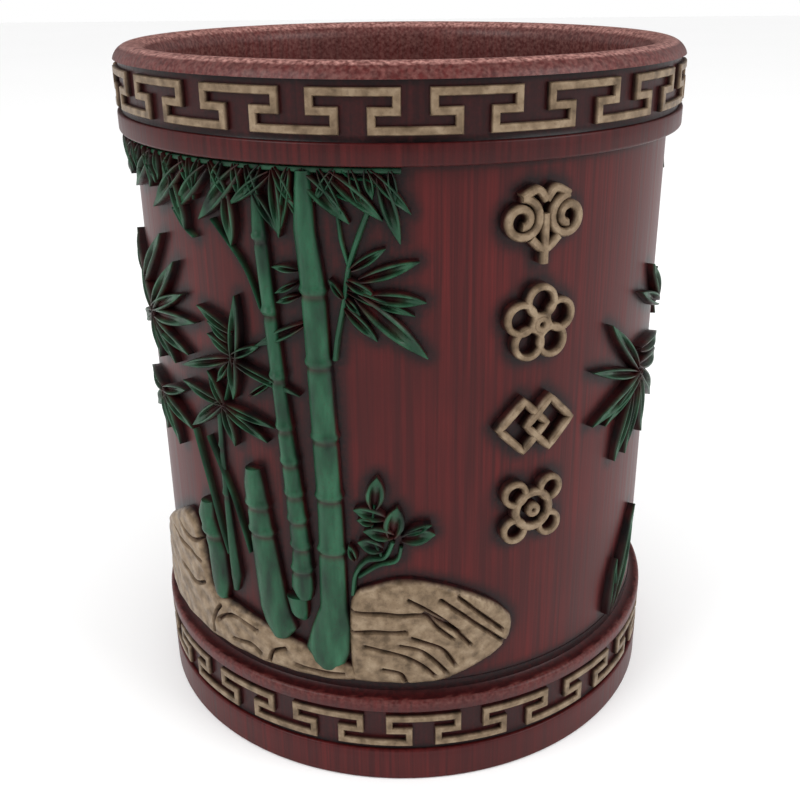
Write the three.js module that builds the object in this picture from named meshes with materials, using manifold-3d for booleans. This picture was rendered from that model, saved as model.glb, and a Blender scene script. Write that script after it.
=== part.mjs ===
// A round lacquered brush pot: a wall tube, a floor, a rim ring and a foot ring with a raised key
// fret each, and bamboo, rocks and four ornaments applied to the wall in low relief.
// Millimetres, +Z up, origin at the middle of the underside, -Y is the front.
// The relief is drawn flat as [s, z], s along the wall from the front, then bent round the wall.

import * as THREE from 'three';
import { mergeVertices } from 'three/addons/utils/BufferGeometryUtils.js';
import Module from 'manifold-3d';

const wasm = await Module();
wasm.setup();

// Driving dimensions
const POT_HEIGHT = 123.5;
const WALL_RADIUS = 47.6;
const WALL_THICKNESS = 4;
const FLOOR_THICKNESS = 4;
const RING_PROUD = 2.4;
const FIT_GAP = 0.3;

// Foot ring
const LEDGE_HEIGHT = 4;
const LEDGE_WIDTH = 7.6;
const FOOT_BAND = 6.5;
const FOOT_TOP_BAND = 2.4;
const COVE_HEIGHT = 2.4;
const EDGE_ROUND = 0.5;

// Rim ring
const RIM_CAP = 5.5;
const RIM_BAND = 3.3;
const BEAD_OVERLAP = 0.9;
const BEAD_STEPS = 6;

// Key fret
const FRET_UNITS = 18;
const FRET_HEIGHT = 5.2;
const FRET_LINE = 1.25;
const FRET_HOOK = 3.5;
const FRET_MARGIN = 1;
const FRET_THICKNESS = 0.6;
const FRET_BEVEL = 0.2;
const RIM_FRET_START = 4.7;
const FOOT_FRET_START = -3.1;

// Relief heights above the wall
const CULM_HEIGHT = 2;
const LEAF_HEIGHT = 1.5;
const ROCK_HEIGHT = 1.7;
const ORNAMENT_HEIGHT = 1.9;
const STEM_HEIGHT = 1.2;
const TOP_SHARE = 0.55;
const CRACK_DEPTH = 0.7;
const NODE_HALF = 0.7;
const NODE_SWELL = 1.16;

// The relief is drawn for this radius and between these two heights
const DRAWN_RADIUS = 49.3;
const DRAWN_BOTTOM = 19.8;
const DRAWN_TOP = 109.4;

const LATHE_STEPS = 48;
const BEND_STEP = 8;
const WELD = 1e-4;

// Sizes that follow
const RING_RADIUS = WALL_RADIUS + RING_PROUD;
const BORE_RADIUS = WALL_RADIUS - WALL_THICKNESS;
const FRET_GROUND = FRET_HEIGHT + FRET_LINE + 2 * FRET_MARGIN;
const GROUND_RADIUS = RING_RADIUS - FRET_THICKNESS - FIT_GAP;
const FOOT_HEIGHT = FOOT_BAND + FRET_GROUND + FOOT_TOP_BAND + COVE_HEIGHT;
const BEAD_RADIUS = (RING_RADIUS - BORE_RADIUS) / 2;
const BEAD_Z = POT_HEIGHT - BEAD_RADIUS;
const RIM_GROUND_TOP = BEAD_Z + BEAD_OVERLAP;
const RIM_GROUND_BOTTOM = RIM_GROUND_TOP - FRET_GROUND;
const RIM_BOTTOM = RIM_GROUND_BOTTOM - RIM_BAND;
const WALL_TOP = POT_HEIGHT - RIM_CAP;
const STRETCH = (RIM_BOTTOM - FOOT_HEIGHT) / (DRAWN_TOP - DRAWN_BOTTOM);

const LACQUER = { color: 0x4a1212, roughness: 0.35, metalness: 0 };
const BRONZE = { color: 0x8a7a58, roughness: 0.5, metalness: 0.4 };
const BAMBOO = { color: 0x2c6a48, roughness: 0.45, metalness: 0 };

const pot = new THREE.Group();

function addMesh(name, geometry, finish) {
  geometry.computeVertexNormals();
  const mesh = new THREE.Mesh(geometry, new THREE.MeshStandardMaterial(finish));
  mesh.name = name;
  pot.add(mesh);
}

// One closed mesh with its doubles welded, its empty faces gone and its faces pointing out
function weld(geometry) {
  geometry.deleteAttribute('normal');
  geometry.deleteAttribute('uv');
  const merged = mergeVertices(geometry, WELD);
  const index = merged.getIndex().array;
  const at = (i) => new THREE.Vector3().fromBufferAttribute(merged.getAttribute('position'), i);
  const faces = [];
  let volume = 0;
  for (let i = 0; i < index.length; i += 3) {
    const [a, b, c] = [index[i], index[i + 1], index[i + 2]];
    if (a === b || b === c || c === a) continue;
    faces.push([a, b, c]);
    volume += at(a).dot(at(b).cross(at(c)));
  }
  if (volume < 0) faces.forEach((face) => face.reverse());
  merged.setIndex(faces.flat());
  return merged;
}

function turned(profile) {
  const points = profile.map(([r, z]) => new THREE.Vector2(r, z));
  const lathe = new THREE.LatheGeometry(points, LATHE_STEPS);
  lathe.rotateX(Math.PI / 2);
  return weld(lathe);
}

// The pot's body
function wallTube() {
  return turned([
    [BORE_RADIUS, LEDGE_HEIGHT],
    [WALL_RADIUS, LEDGE_HEIGHT],
    [WALL_RADIUS, WALL_TOP],
    [BORE_RADIUS, WALL_TOP],
    [BORE_RADIUS, LEDGE_HEIGHT],
  ]);
}

function floorDisc() {
  const radius = BORE_RADIUS - FIT_GAP;
  return turned([
    [0, LEDGE_HEIGHT],
    [radius, LEDGE_HEIGHT],
    [radius, LEDGE_HEIGHT + FLOOR_THICKNESS],
    [0, LEDGE_HEIGHT + FLOOR_THICKNESS],
  ]);
}

function footRing() {
  const groundTop = FOOT_BAND + FRET_GROUND;
  const coveFoot = groundTop + FOOT_TOP_BAND;
  const socket = WALL_RADIUS + FIT_GAP;
  const ledge = WALL_RADIUS - LEDGE_WIDTH;
  return turned([
    [ledge, 0],
    [RING_RADIUS - EDGE_ROUND, 0],
    [RING_RADIUS, EDGE_ROUND],
    [RING_RADIUS, FOOT_BAND - EDGE_ROUND],
    [GROUND_RADIUS, FOOT_BAND],
    [GROUND_RADIUS, groundTop],
    [RING_RADIUS, groundTop],
    [RING_RADIUS, coveFoot - EDGE_ROUND],
    [RING_RADIUS - EDGE_ROUND, coveFoot],
    [(RING_RADIUS + socket) / 2, coveFoot + COVE_HEIGHT / 3],
    [socket, FOOT_HEIGHT],
    [socket, LEDGE_HEIGHT],
    [ledge, LEDGE_HEIGHT],
    [ledge, 0],
  ]);
}

function rimRing() {
  const socket = WALL_RADIUS + FIT_GAP;
  const profile = [
    [socket, RIM_BOTTOM],
    [RING_RADIUS - EDGE_ROUND, RIM_BOTTOM],
    [RING_RADIUS, RIM_BOTTOM + EDGE_ROUND],
    [RING_RADIUS, RIM_GROUND_BOTTOM],
    [GROUND_RADIUS, RIM_GROUND_BOTTOM],
    [GROUND_RADIUS, RIM_GROUND_TOP],
  ];
  const start = Math.asin(BEAD_OVERLAP / BEAD_RADIUS);
  for (let i = 0; i <= BEAD_STEPS; i++) {
    const angle = start + (Math.PI - start) * i / BEAD_STEPS;
    const r = RING_RADIUS - BEAD_RADIUS + BEAD_RADIUS * Math.cos(angle);
    profile.push([r, BEAD_Z + BEAD_RADIUS * Math.sin(angle)]);
  }
  profile.push([BORE_RADIUS, WALL_TOP]);
  profile.push([socket, WALL_TOP]);
  profile.push([socket, RIM_BOTTOM]);
  return turned(profile);
}

// The key fret: one line of trapezoid section that closes on itself round the ring
function keyFret(start, middle) {
  const period = 2 * Math.PI * RING_RADIUS / FRET_UNITS;
  const step = period / 2;
  const gap = step - FRET_HOOK;
  const bar = 2 * FRET_HOOK + gap;
  const half = FRET_HEIGHT / 2;
  const unit = [
    [0, half],
    [bar / 2, half],
    [bar, half],
    [bar, 0],
    [step, 0],
    [step, -half],
    [step + bar / 2, -half],
    [step + bar, -half],
    [step + bar, 0],
    [period, 0],
  ];
  const line = [];
  for (let k = 0; k < FRET_UNITS; k++) {
    for (const [s, z] of unit) line.push(new THREE.Vector2(start + k * period + s, z));
  }
  const round = period * FRET_UNITS;
  const inner = RING_RADIUS - FRET_THICKNESS;
  const positions = [];
  const faces = [];
  const count = line.length;
  line.forEach((point, i) => {
    const before = line[(i + count - 1) % count].clone();
    const after = line[(i + 1) % count].clone();
    if (i === 0) before.x -= round;
    if (i === count - 1) after.x += round;
    const into = point.clone().sub(before).normalize();
    const out = after.sub(point).normalize();
    const across = new THREE.Vector2(-into.y - out.y, into.x + out.x);
    across.divideScalar(1 + into.dot(out));
    const section = [
      [-FRET_LINE / 2, inner],
      [-FRET_LINE / 2 + FRET_BEVEL, RING_RADIUS],
      [FRET_LINE / 2 - FRET_BEVEL, RING_RADIUS],
      [FRET_LINE / 2, inner],
    ];
    for (const [offset, radius] of section) {
      const angle = (point.x + across.x * offset) / RING_RADIUS;
      const z = middle + point.y + across.y * offset;
      positions.push(radius * Math.sin(angle), -radius * Math.cos(angle), z);
    }
    for (let k = 0; k < 4; k++) {
      const a = 4 * i + k;
      const b = 4 * i + (k + 1) % 4;
      const c = 4 * ((i + 1) % count) + (k + 1) % 4;
      const d = 4 * ((i + 1) % count) + k;
      faces.push(a, b, c, a, c, d);
    }
  });
  const geometry = new THREE.BufferGeometry();
  geometry.setAttribute('position', new THREE.Float32BufferAttribute(positions, 3));
  geometry.setIndex(faces);
  return weld(geometry);
}

// Flat relief solids. Each is made from its lower and its upper outline
function solid(lower, upper, bottom, top) {
  const toContour = (ring) => ring.map(([s, z]) => new THREE.Vector2(s, z));
  if (THREE.ShapeUtils.isClockWise(toContour(lower))) {
    lower = [...lower].reverse();
    upper = [...upper].reverse();
  }
  const count = lower.length;
  const positions = [];
  lower.forEach(([s, z]) => positions.push(s, z, bottom));
  upper.forEach(([s, z]) => positions.push(s, z, top));
  const faces = [];
  for (const [a, b, c] of THREE.ShapeUtils.triangulateShape(toContour(lower), [])) {
    faces.push(a, c, b);
  }
  for (const [a, b, c] of THREE.ShapeUtils.triangulateShape(toContour(upper), [])) {
    faces.push(count + a, count + b, count + c);
  }
  for (let i = 0; i < count; i++) {
    const j = (i + 1) % count;
    faces.push(i, j, count + j, i, count + j, count + i);
  }
  return new wasm.Manifold(new wasm.Mesh({
    numProp: 3,
    vertProperties: new Float32Array(positions),
    triVerts: new Uint32Array(faces),
  }));
}

// A ribbon outline along a midline; each station is [s, z, half width]
function ribbon(stations) {
  const left = [];
  const right = [];
  stations.forEach(([s, z, half], i) => {
    const [s0, z0] = stations[Math.max(i - 1, 0)];
    const [s1, z1] = stations[Math.min(i + 1, stations.length - 1)];
    const length = Math.hypot(s1 - s0, z1 - z0);
    const across = [-(z1 - z0) / length * half, (s1 - s0) / length * half];
    left.push([s + across[0], z + across[1]]);
    right.push([s - across[0], z - across[1]]);
  });
  return [...left, ...right.reverse()];
}

// With a growth above zero, each form gives the room that its neighbours leave free
const ROOM = { bottom: -1, top: 6 };

function leaf([s0, z0, s1, z1, width], grow = 0) {
  const form = [[0, 0.3], [0.3, 1], [0.7, 0.75], [1, 0.08]];
  const length = Math.hypot(s1 - s0, z1 - z0);
  const along = [(s1 - s0) / length, (z1 - z0) / length];
  const place = (share, half) => [s0 + along[0] * share * length, z0 + along[1] * share * length, half];
  const extra = grow / length;
  const lower = form.map(([u, w], i) => {
    const shift = i === 0 ? -extra : (i === form.length - 1 ? 2 * extra : 0);
    return place(u + shift, w * width / 2 + grow);
  });
  if (grow > 0) return solid(ribbon(lower), ribbon(lower), ROOM.bottom, ROOM.top);
  const upper = form.map(([u, w]) => place(0.03 + u * 0.92, w * width / 2 * TOP_SHARE));
  return solid(ribbon(lower), ribbon(upper), FIT_GAP, LEAF_HEIGHT);
}

function stem(points, width, grow = 0, height = STEM_HEIGHT) {
  const lower = points.map(([s, z]) => [s, z, width / 2 + grow]);
  if (grow > 0) return solid(ribbon(lower), ribbon(lower), ROOM.bottom, ROOM.top);
  const upper = points.map(([s, z]) => [s, z, width / 2 * TOP_SHARE]);
  return solid(ribbon(lower), ribbon(upper), FIT_GAP, height);
}

// A culm: half-round rows [z, s, width] with swollen rings at its nodes, from the top down
function culm(path, nodes, grow = 0) {
  const between = (z) => {
    const k = path.findIndex((row) => row[0] <= z);
    const [a, b] = [path[k - 1], path[k]];
    const share = (a[0] - z) / (a[0] - b[0]);
    return [z, a[1] + (b[1] - a[1]) * share, a[2] + (b[2] - a[2]) * share];
  };
  let rows = [...path];
  for (const z of nodes) {
    rows = rows.filter((row) => Math.abs(row[0] - z) > NODE_HALF);
    const ring = between(z);
    rows.push(between(z + NODE_HALF), [z, ring[1], ring[2] * NODE_SWELL], between(z - NODE_HALF));
  }
  rows.sort((a, b) => b[0] - a[0]);
  if (grow > 0) {
    const outline = rows.map(([z, s, width]) => [s, z, width / 2 + grow]);
    outline[0][1] += grow;
    outline[outline.length - 1][1] -= grow;
    return solid(ribbon(outline), ribbon(outline), ROOM.bottom, ROOM.top);
  }
  const sides = 5;
  const positions = [];
  const faces = [];
  rows.forEach(([z, s, width], i) => {
    const rise = Math.min(CULM_HEIGHT - FIT_GAP, 0.6 * width);
    for (let k = 0; k <= sides; k++) {
      const angle = Math.PI * k / sides;
      positions.push(s - Math.cos(angle) * width / 2, z, FIT_GAP + rise * Math.sin(angle));
    }
    if (i === 0) return;
    for (let k = 0; k <= sides; k++) {
      const next = (k + 1) % (sides + 1);
      const [a, b] = [(i - 1) * (sides + 1) + k, (i - 1) * (sides + 1) + next];
      const [c, d] = [i * (sides + 1) + next, i * (sides + 1) + k];
      faces.push(a, c, b, a, d, c);
    }
  });
  const last = (rows.length - 1) * (sides + 1);
  for (let k = 1; k < sides; k++) {
    faces.push(0, k, k + 1);
    faces.push(last, last + k + 1, last + k);
  }
  return new wasm.Manifold(new wasm.Mesh({
    numProp: 3,
    vertProperties: new Float32Array(positions),
    triVerts: new Uint32Array(faces),
  }));
}

function rock(outline, grow = 0) {
  const middle = outline.reduce(([a, b], [s, z]) => [a + s / outline.length, b + z / outline.length], [0, 0]);
  const spread = (share) => outline.map(([s, z]) => [
    middle[0] + (s - middle[0]) * share,
    middle[1] + (z - middle[1]) * share,
  ]);
  const size = Math.max(...outline.map(([s, z]) => Math.hypot(s - middle[0], z - middle[1])));
  if (grow > 0) {
    const room = spread(1 + 3 * grow / size);
    return solid(room, room, ROOM.bottom, ROOM.top);
  }
  return solid(outline, spread(0.94), FIT_GAP, ROCK_HEIGHT);
}

function disc(s, z, radius, bottom = FIT_GAP, top = ORNAMENT_HEIGHT, sides = 10) {
  const ring = (r) => Array.from({ length: sides }, (unused, k) => {
    const angle = 2 * Math.PI * k / sides;
    return [s + r * Math.cos(angle), z + r * Math.sin(angle)];
  });
  return solid(ring(radius), ring(radius), bottom, top);
}

// A raised ring of 4 or more sides, used for the ornaments
function loop(s, z, radius, line, sides = 10) {
  const hole = disc(s, z, radius - line, ROOM.bottom, ROOM.top, sides);
  return disc(s, z, radius, FIT_GAP, ORNAMENT_HEIGHT, sides).subtract(hole);
}

const join = (solids) => solids.reduce((whole, next) => whole.add(next));

// Faces are split until none goes further round the wall than BEND_STEP, then bent
function bend(flat) {
  const mesh = flat.getMesh();
  const corner = (i) => Array.from(mesh.vertProperties.slice(i * mesh.numProp, i * mesh.numProp + 3));
  const open = [];
  for (let i = 0; i < mesh.triVerts.length; i += 3) {
    open.push([corner(mesh.triVerts[i]), corner(mesh.triVerts[i + 1]), corner(mesh.triVerts[i + 2])]);
  }
  const positions = [];
  while (open.length > 0) {
    const face = open.pop();
    const spans = face.map((point, i) => Math.abs(point[0] - face[(i + 1) % 3][0]));
    const widest = spans.indexOf(Math.max(...spans));
    if (spans[widest] <= BEND_STEP) {
      for (const [s, z, height] of face) {
        const angle = s / DRAWN_RADIUS;
        const radius = WALL_RADIUS + height;
        const level = FOOT_HEIGHT + (z - DRAWN_BOTTOM) * STRETCH;
        positions.push(radius * Math.sin(angle), -radius * Math.cos(angle), level);
      }
      continue;
    }
    const [a, b, c] = [face[widest], face[(widest + 1) % 3], face[(widest + 2) % 3]];
    const middle = a.map((value, i) => (value + b[i]) / 2);
    open.push([a, middle, c], [middle, b, c]);
  }
  const geometry = new THREE.BufferGeometry();
  geometry.setAttribute('position', new THREE.Float32BufferAttribute(positions, 3));
  return weld(geometry);
}

// Every relief piece is cut by those placed before it, and trimmed between the two rings
const FIELD_HALF = 160;
const field = solid(
  [
    [-FIELD_HALF, DRAWN_BOTTOM + FIT_GAP],
    [FIELD_HALF, DRAWN_BOTTOM + FIT_GAP],
    [FIELD_HALF, DRAWN_TOP - FIT_GAP],
    [-FIELD_HALF, DRAWN_TOP - FIT_GAP],
  ],
  [
    [-FIELD_HALF, DRAWN_BOTTOM + FIT_GAP],
    [FIELD_HALF, DRAWN_BOTTOM + FIT_GAP],
    [FIELD_HALF, DRAWN_TOP - FIT_GAP],
    [-FIELD_HALF, DRAWN_TOP - FIT_GAP],
  ],
  ROOM.bottom,
  ROOM.top,
);
const rooms = [];

function applied(name, finish, forms, cuts = []) {
  let body = join(forms.map((form) => form(0)));
  for (const cut of cuts) body = body.subtract(cut);
  for (const room of rooms) body = body.subtract(room);
  body = body.intersect(field);
  const pieces = body.decompose().sort((a, b) => b.volume() - a.volume());
  rooms.push(join(forms.map((form) => form(FIT_GAP))));
  addMesh(name, bend(pieces[0]), finish);
}

const leaves = (list) => list.map((one) => (grow) => leaf(one, grow));
const stems = (list) => list.map(([width, ...points]) => (grow) => stem(points, width, grow));

addMesh('wall_tube', wallTube(), LACQUER);
addMesh('floor_disc', floorDisc(), LACQUER);
addMesh('rim_ring', rimRing(), LACQUER);
addMesh('foot_ring', footRing(), LACQUER);
addMesh('rim_fret', keyFret(RIM_FRET_START, RIM_GROUND_BOTTOM + FRET_GROUND / 2), BRONZE);
addMesh('foot_fret', keyFret(FOOT_FRET_START, FOOT_BAND + FRET_GROUND / 2), BRONZE);

// Culms and cut stumps: the path from the top down, then the heights of the nodes
const CULMS = {
  culm_front: [
    [[107, -14.4, 2.6], [100, -14.5, 3.4], [92, -13.7, 4], [80, -13.3, 4], [65, -12.8, 4.2],
      [52, -12.4, 4.5], [35, -12.5, 5], [31, -13, 7], [26, -13.9, 8.4], [23.4, -13.8, 5.6],
      [22.4, -13.8, 2.4]],
    [91, 79.5, 67, 56.5, 46.5],
  ],
  culm_second: [
    [[105, -22.5, 1.8], [100, -22.3, 2.2], [85, -21.1, 2.3], [72, -20.1, 2.4], [60, -19, 3],
      [45, -17.9, 3.4], [38, -18.1, 4.2], [36, -17.7, 2.6]],
    [98.5, 87, 76.5, 68, 62, 56.3, 51.5, 46.5],
  ],
  stump_near: [
    [[59, -26.6, 3], [56, -26.6, 4.1], [45, -25.5, 5], [32, -24, 6.2], [29, -22.9, 6.6],
      [27, -22.9, 3.4]],
    [52.5, 47.5],
  ],
  stump_left: [
    [[49, -38.8, 3], [46, -39.7, 4.2], [40, -37.4, 4.6], [33, -37, 4.4], [30, -36.7, 2.4]],
    [43],
  ],
  bulb_low: [
    [[35, -19.3, 4], [33, -18.9, 3.2], [31.4, -18.4, 1.6]],
    [],
  ],
  culm_thin_left: [
    [[60, -34.2, 1], [50, -33.9, 1.2], [42, -33.2, 1.8], [36, -32.6, 2.2], [32.5, -33.4, 1.2]],
    [52],
  ],
  culm_back_a: [
    [[107, 95, 2.6], [70, 93.5, 4], [35, 92, 5], [27, 91.5, 7], [23, 91.5, 3]],
    [95, 82, 69, 56, 44],
  ],
  culm_back_b: [
    [[105, 103.5, 2], [60, 102, 3], [34, 101, 4.2], [30, 101, 2.4]],
    [96, 87, 77, 67, 57, 47, 39],
  ],
  culm_back_c: [
    [[107, -118, 2.4], [60, -116.5, 3.8], [32, -115.5, 5], [27, -115.5, 3]],
    [96, 84, 72, 60, 48],
  ],
};
for (const [name, [path, nodes]] of Object.entries(CULMS)) {
  applied(name, BAMBOO, [(grow) => culm(path, nodes, grow)]);
}

// Rock and ground with their cracks
const ROCK_RIGHT = [[-9.2, 21], [-9.2, 38], [-5, 40.3], [0, 41.4], [6.5, 40], [13, 37], [17.5, 33.5],
  [19, 30], [16.5, 25.2], [9, 21.5], [3, 20.3]];
const ROCK_CRACKS = [
  [[-6, 34.8], [3, 34.6], [8, 29.5]],
  [[1, 30], [6, 27.6], [8.5, 24]],
  [[-5, 27.4], [1, 25.7], [5, 22]],
  [[6, 38], [12, 32], [17, 27.5]],
];
const GROUND_LEFT = [[-62, 20.5], [-12, 20.5], [-10.5, 22.5], [-20, 26], [-27, 28], [-33, 29.5],
  [-40, 30], [-42.5, 42], [-46, 44.5], [-52, 41.5], [-60, 36]];
const GROUND_CRACKS = [
  [[-38, 25], [-33, 27.2], [-28, 25.4]],
  [[-54, 37], [-48, 36], [-43, 35.4]],
  [[-50, 31], [-45, 29.5], [-41.5, 31]],
];
const ROCK_BACK = [[110, 20.5], [152, 20.5], [150, 27], [143, 36], [136, 39], [128, 37], [120, 31],
  [113, 27]];
const crack = (points) => solid(
  ribbon(points.map(([s, z]) => [s, z, 0.3])),
  ribbon(points.map(([s, z]) => [s, z, 0.45])),
  ROCK_HEIGHT - CRACK_DEPTH,
  ROOM.top,
);
applied('rock_right', BRONZE, [(grow) => rock(ROCK_RIGHT, grow)], ROCK_CRACKS.map(crack));
applied('ground_left', BRONZE, [(grow) => rock(GROUND_LEFT, grow)], GROUND_CRACKS.map(crack));
applied('rock_back', BRONZE, [(grow) => rock(ROCK_BACK, grow)]);

// Ornaments in a column right of the front: a cloud head, a blossom, two lozenges and a knot
const ORNAMENT_S = 22;
const ORNAMENT_LINE = 1.4;
applied('ornament_cloud', BRONZE, [() => join([
  loop(ORNAMENT_S - 4, 101.5, 3.2, ORNAMENT_LINE),
  loop(ORNAMENT_S + 4, 101.5, 3.2, ORNAMENT_LINE),
  loop(ORNAMENT_S, 103.4, 2.9, ORNAMENT_LINE),
  stem([[ORNAMENT_S, 100.7], [ORNAMENT_S, 94]], ORNAMENT_LINE, 0, ORNAMENT_HEIGHT),
])]);
applied('ornament_blossom', BRONZE, [() => join([0, 1, 2, 3, 4].map((k) => {
  const angle = Math.PI / 2 + k * 2 * Math.PI / 5;
  return loop(ORNAMENT_S + 3.5 * Math.cos(angle), 84.5 + 3.5 * Math.sin(angle), 2.9, 1.2);
}))]);
applied('ornament_lozenges', BRONZE, [() => join([
  loop(ORNAMENT_S - 2.4, 67.5, 4.8, ORNAMENT_LINE, 4),
  loop(ORNAMENT_S + 2.4, 67.5, 4.8, ORNAMENT_LINE, 4),
])]);
applied('ornament_knot', BRONZE, [() => join([
  loop(ORNAMENT_S, 52, 3.6, ORNAMENT_LINE, 8),
  ...[0, 1, 2, 3].map((k) => {
    const angle = Math.PI / 4 + k * Math.PI / 2;
    return loop(ORNAMENT_S + 4.6 * Math.cos(angle), 52 + 4.6 * Math.sin(angle), 2.5, 1.1, 10);
  }),
])]);

// Leaf sprays. A leaf is [s, z] of its foot, [s, z] of its tip and its width
applied('canopy_front', BAMBOO, [
  ...stems([[1.3, [-70, 108.4], [-35, 108.4], [1, 108.4]]]),
  ...leaves([
    [-19.5, 108, -27.3, 102.7, 1.9], [-24.5, 108.6, -34, 99.7, 2.8], [-31, 108, -40.2, 100.2, 2.6],
    [-19, 108.5, -18.6, 98.6, 1.9], [-15, 108.5, -7.6, 101.2, 2.5], [-10.5, 108.5, -2.7, 101.7, 2.2],
    [-4.5, 108.8, 1.4, 102.6, 1.7], [-3.2, 108, -0.2, 98.3, 2.4], [-36, 108, -47.2, 99.6, 2.6],
    [-46, 108.4, -56, 101.5, 2.6], [-56, 108.4, -66, 102, 2.6],
  ]),
]);
applied('twig_spray', BAMBOO, [
  ...stems([[0.9, [-4.8, 102.4], [-6.5, 99], [-8, 94.5], [-8.8, 89.5], [-10, 84], [-10.4, 80.3]]]),
  ...leaves([
    [-7.6, 94.4, -2.4, 97.6, 1.5], [-8, 92.2, 2.6, 95.6, 2], [-8.4, 91.6, 3.6, 89.4, 2.2],
    [-8.6, 91, 3.8, 80.6, 2.8], [-9, 88.6, -3.8, 83.4, 1.6],
  ]),
]);
applied('star_upper', BAMBOO, [
  ...leaves([
    [-28.6, 76.5, -27.6, 88.5, 2], [-28.4, 80.5, -36.6, 85.3, 1.5], [-28.6, 78.5, -34.4, 81, 1.3],
    [-29, 77.8, -42.8, 73.4, 1.8], [-28.6, 78.6, -29.4, 70.8, 2], [-29.2, 77.6, -23.2, 75.2, 1.4],
    [-29, 78.3, -23.4, 80.9, 1.6],
  ]),
]);
applied('star_lower', BAMBOO, [
  ...leaves([
    [-31, 69.3, -42.8, 70.6, 1.6], [-31.4, 70, -41, 62.8, 2.3], [-31.6, 69.2, -29.8, 62.2, 1.9],
    [-32, 69.2, -23, 64.4, 1.7], [-32, 69.4, -22.6, 68.6, 1.4], [-31.4, 69, -35.2, 74.4, 1.5],
  ]),
]);
applied('spray_left_upper', BAMBOO, [
  ...leaves([
    [-54, 80, -42.4, 91.3, 2.6], [-58, 84, -46.4, 95.2, 2.6], [-54, 80.4, -40.6, 86.2, 2.2],
    [-54, 79.8, -37.6, 82, 2.6], [-54, 79, -44.4, 75.6, 2.2], [-52, 80, -62, 88, 2.6],
    [-53, 80, -64, 76, 2.6], [-53, 80, -52, 72, 2.4],
  ]),
]);
applied('spray_left_lower', BAMBOO, [
  ...leaves([
    [-52, 66, -43.2, 62, 2], [-52, 66, -46.8, 57, 2.4], [-52, 66, -44.4, 68.2, 2],
    [-52, 66, -52.6, 58, 2.2], [-51, 66, -60, 60, 2.4], [-51, 66, -62, 67, 2.4],
  ]),
]);
applied('shrub_sprig', BAMBOO, [
  ...stems([
    [0.8, [-8.3, 41], [-7, 44], [-4, 46], [-2, 48.5]],
    [0.7, [-4, 46], [-5.2, 50], [-5, 55.5]],
  ]),
  ...leaves([
    [-5, 54.6, -4.4, 60.4, 3.2], [-5, 52.6, -8.6, 54, 2], [-5.2, 53.6, -2.9, 53.6, 1.8],
    [-2.2, 48, -1.2, 55, 3.6], [-2.4, 48.6, 5, 49.6, 3.2], [-2, 49, -6.8, 51.2, 2],
    [-3.2, 47, -7.6, 48.2, 2.6],
  ]),
]);
applied('spray_right', BAMBOO, [
  ...leaves([
    [51, 69, 38.4, 80.6, 2.2], [51, 69, 34.2, 73.4, 2], [51, 69, 34.6, 63.6, 2.4],
    [51, 69, 42.4, 54.4, 2.4], [50, 69, 49, 57, 2.3], [49, 70.4, 64, 68, 3],
    [49, 70, 62, 60, 2.6], [50, 69, 55, 55.4, 2.4],
  ]),
]);
applied('leaf_right', BAMBOO, leaves([[61, 78.6, 48.4, 83.8, 2.2], [61, 79.4, 54, 87.4, 2.4]]));
applied('shoot_right', BAMBOO, leaves([[45, 21.5, 55, 40, 3], [44.6, 21, 47, 32, 2]]));
applied('canopy_back', BAMBOO, [
  ...stems([[1.3, [78, 108.4], [100, 108.4], [122, 108.4]]]),
  ...leaves([
    [84, 108, 76, 100, 2.6], [88, 108, 84, 98, 2.4], [99, 108.4, 99.6, 97, 2.2],
    [108, 108, 113, 98.6, 2.4], [113, 108, 121, 101, 2.6], [119, 108, 129, 103, 2.4],
  ]),
]);
const star = (s, z, length) => [20, 75, 140, 200, 255, 310].map((degrees) => {
  const angle = THREE.MathUtils.degToRad(degrees);
  return [s, z, s + length * Math.cos(angle), z + 0.8 * length * Math.sin(angle), 2.2];
});
applied('spray_back_a', BAMBOO, leaves(star(82, 76, 11)));
applied('spray_back_b', BAMBOO, leaves(star(121, 66, 12)));
applied('spray_back_c', BAMBOO, leaves(star(-132, 78, 12)));
applied('spray_back_d', BAMBOO, leaves(star(-96, 64, 12)));

export default pot;
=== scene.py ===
import math

import bmesh
import bpy
import numpy as np
from mathutils import Matrix, Vector, geometry, kdtree


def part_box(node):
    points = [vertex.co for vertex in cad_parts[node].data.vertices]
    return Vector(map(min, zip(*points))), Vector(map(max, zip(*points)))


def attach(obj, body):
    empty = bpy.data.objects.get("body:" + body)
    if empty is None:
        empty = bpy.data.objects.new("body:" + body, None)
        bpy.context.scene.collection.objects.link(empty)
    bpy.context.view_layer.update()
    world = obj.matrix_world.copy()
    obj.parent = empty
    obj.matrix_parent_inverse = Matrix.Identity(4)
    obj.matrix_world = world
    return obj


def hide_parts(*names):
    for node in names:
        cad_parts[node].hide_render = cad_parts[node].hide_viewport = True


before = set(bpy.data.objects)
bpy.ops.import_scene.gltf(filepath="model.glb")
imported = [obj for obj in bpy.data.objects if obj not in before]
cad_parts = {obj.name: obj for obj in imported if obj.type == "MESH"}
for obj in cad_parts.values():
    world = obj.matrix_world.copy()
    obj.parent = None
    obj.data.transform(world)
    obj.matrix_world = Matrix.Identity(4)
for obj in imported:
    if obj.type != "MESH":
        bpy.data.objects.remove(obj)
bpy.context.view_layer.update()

MM = 0.001


def limit(node, corner, axis):
    """One coordinate of a node's box in millimetres; corner is 0 for lowest and 1 for highest."""
    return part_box(node)[corner][axis] / MM


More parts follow.
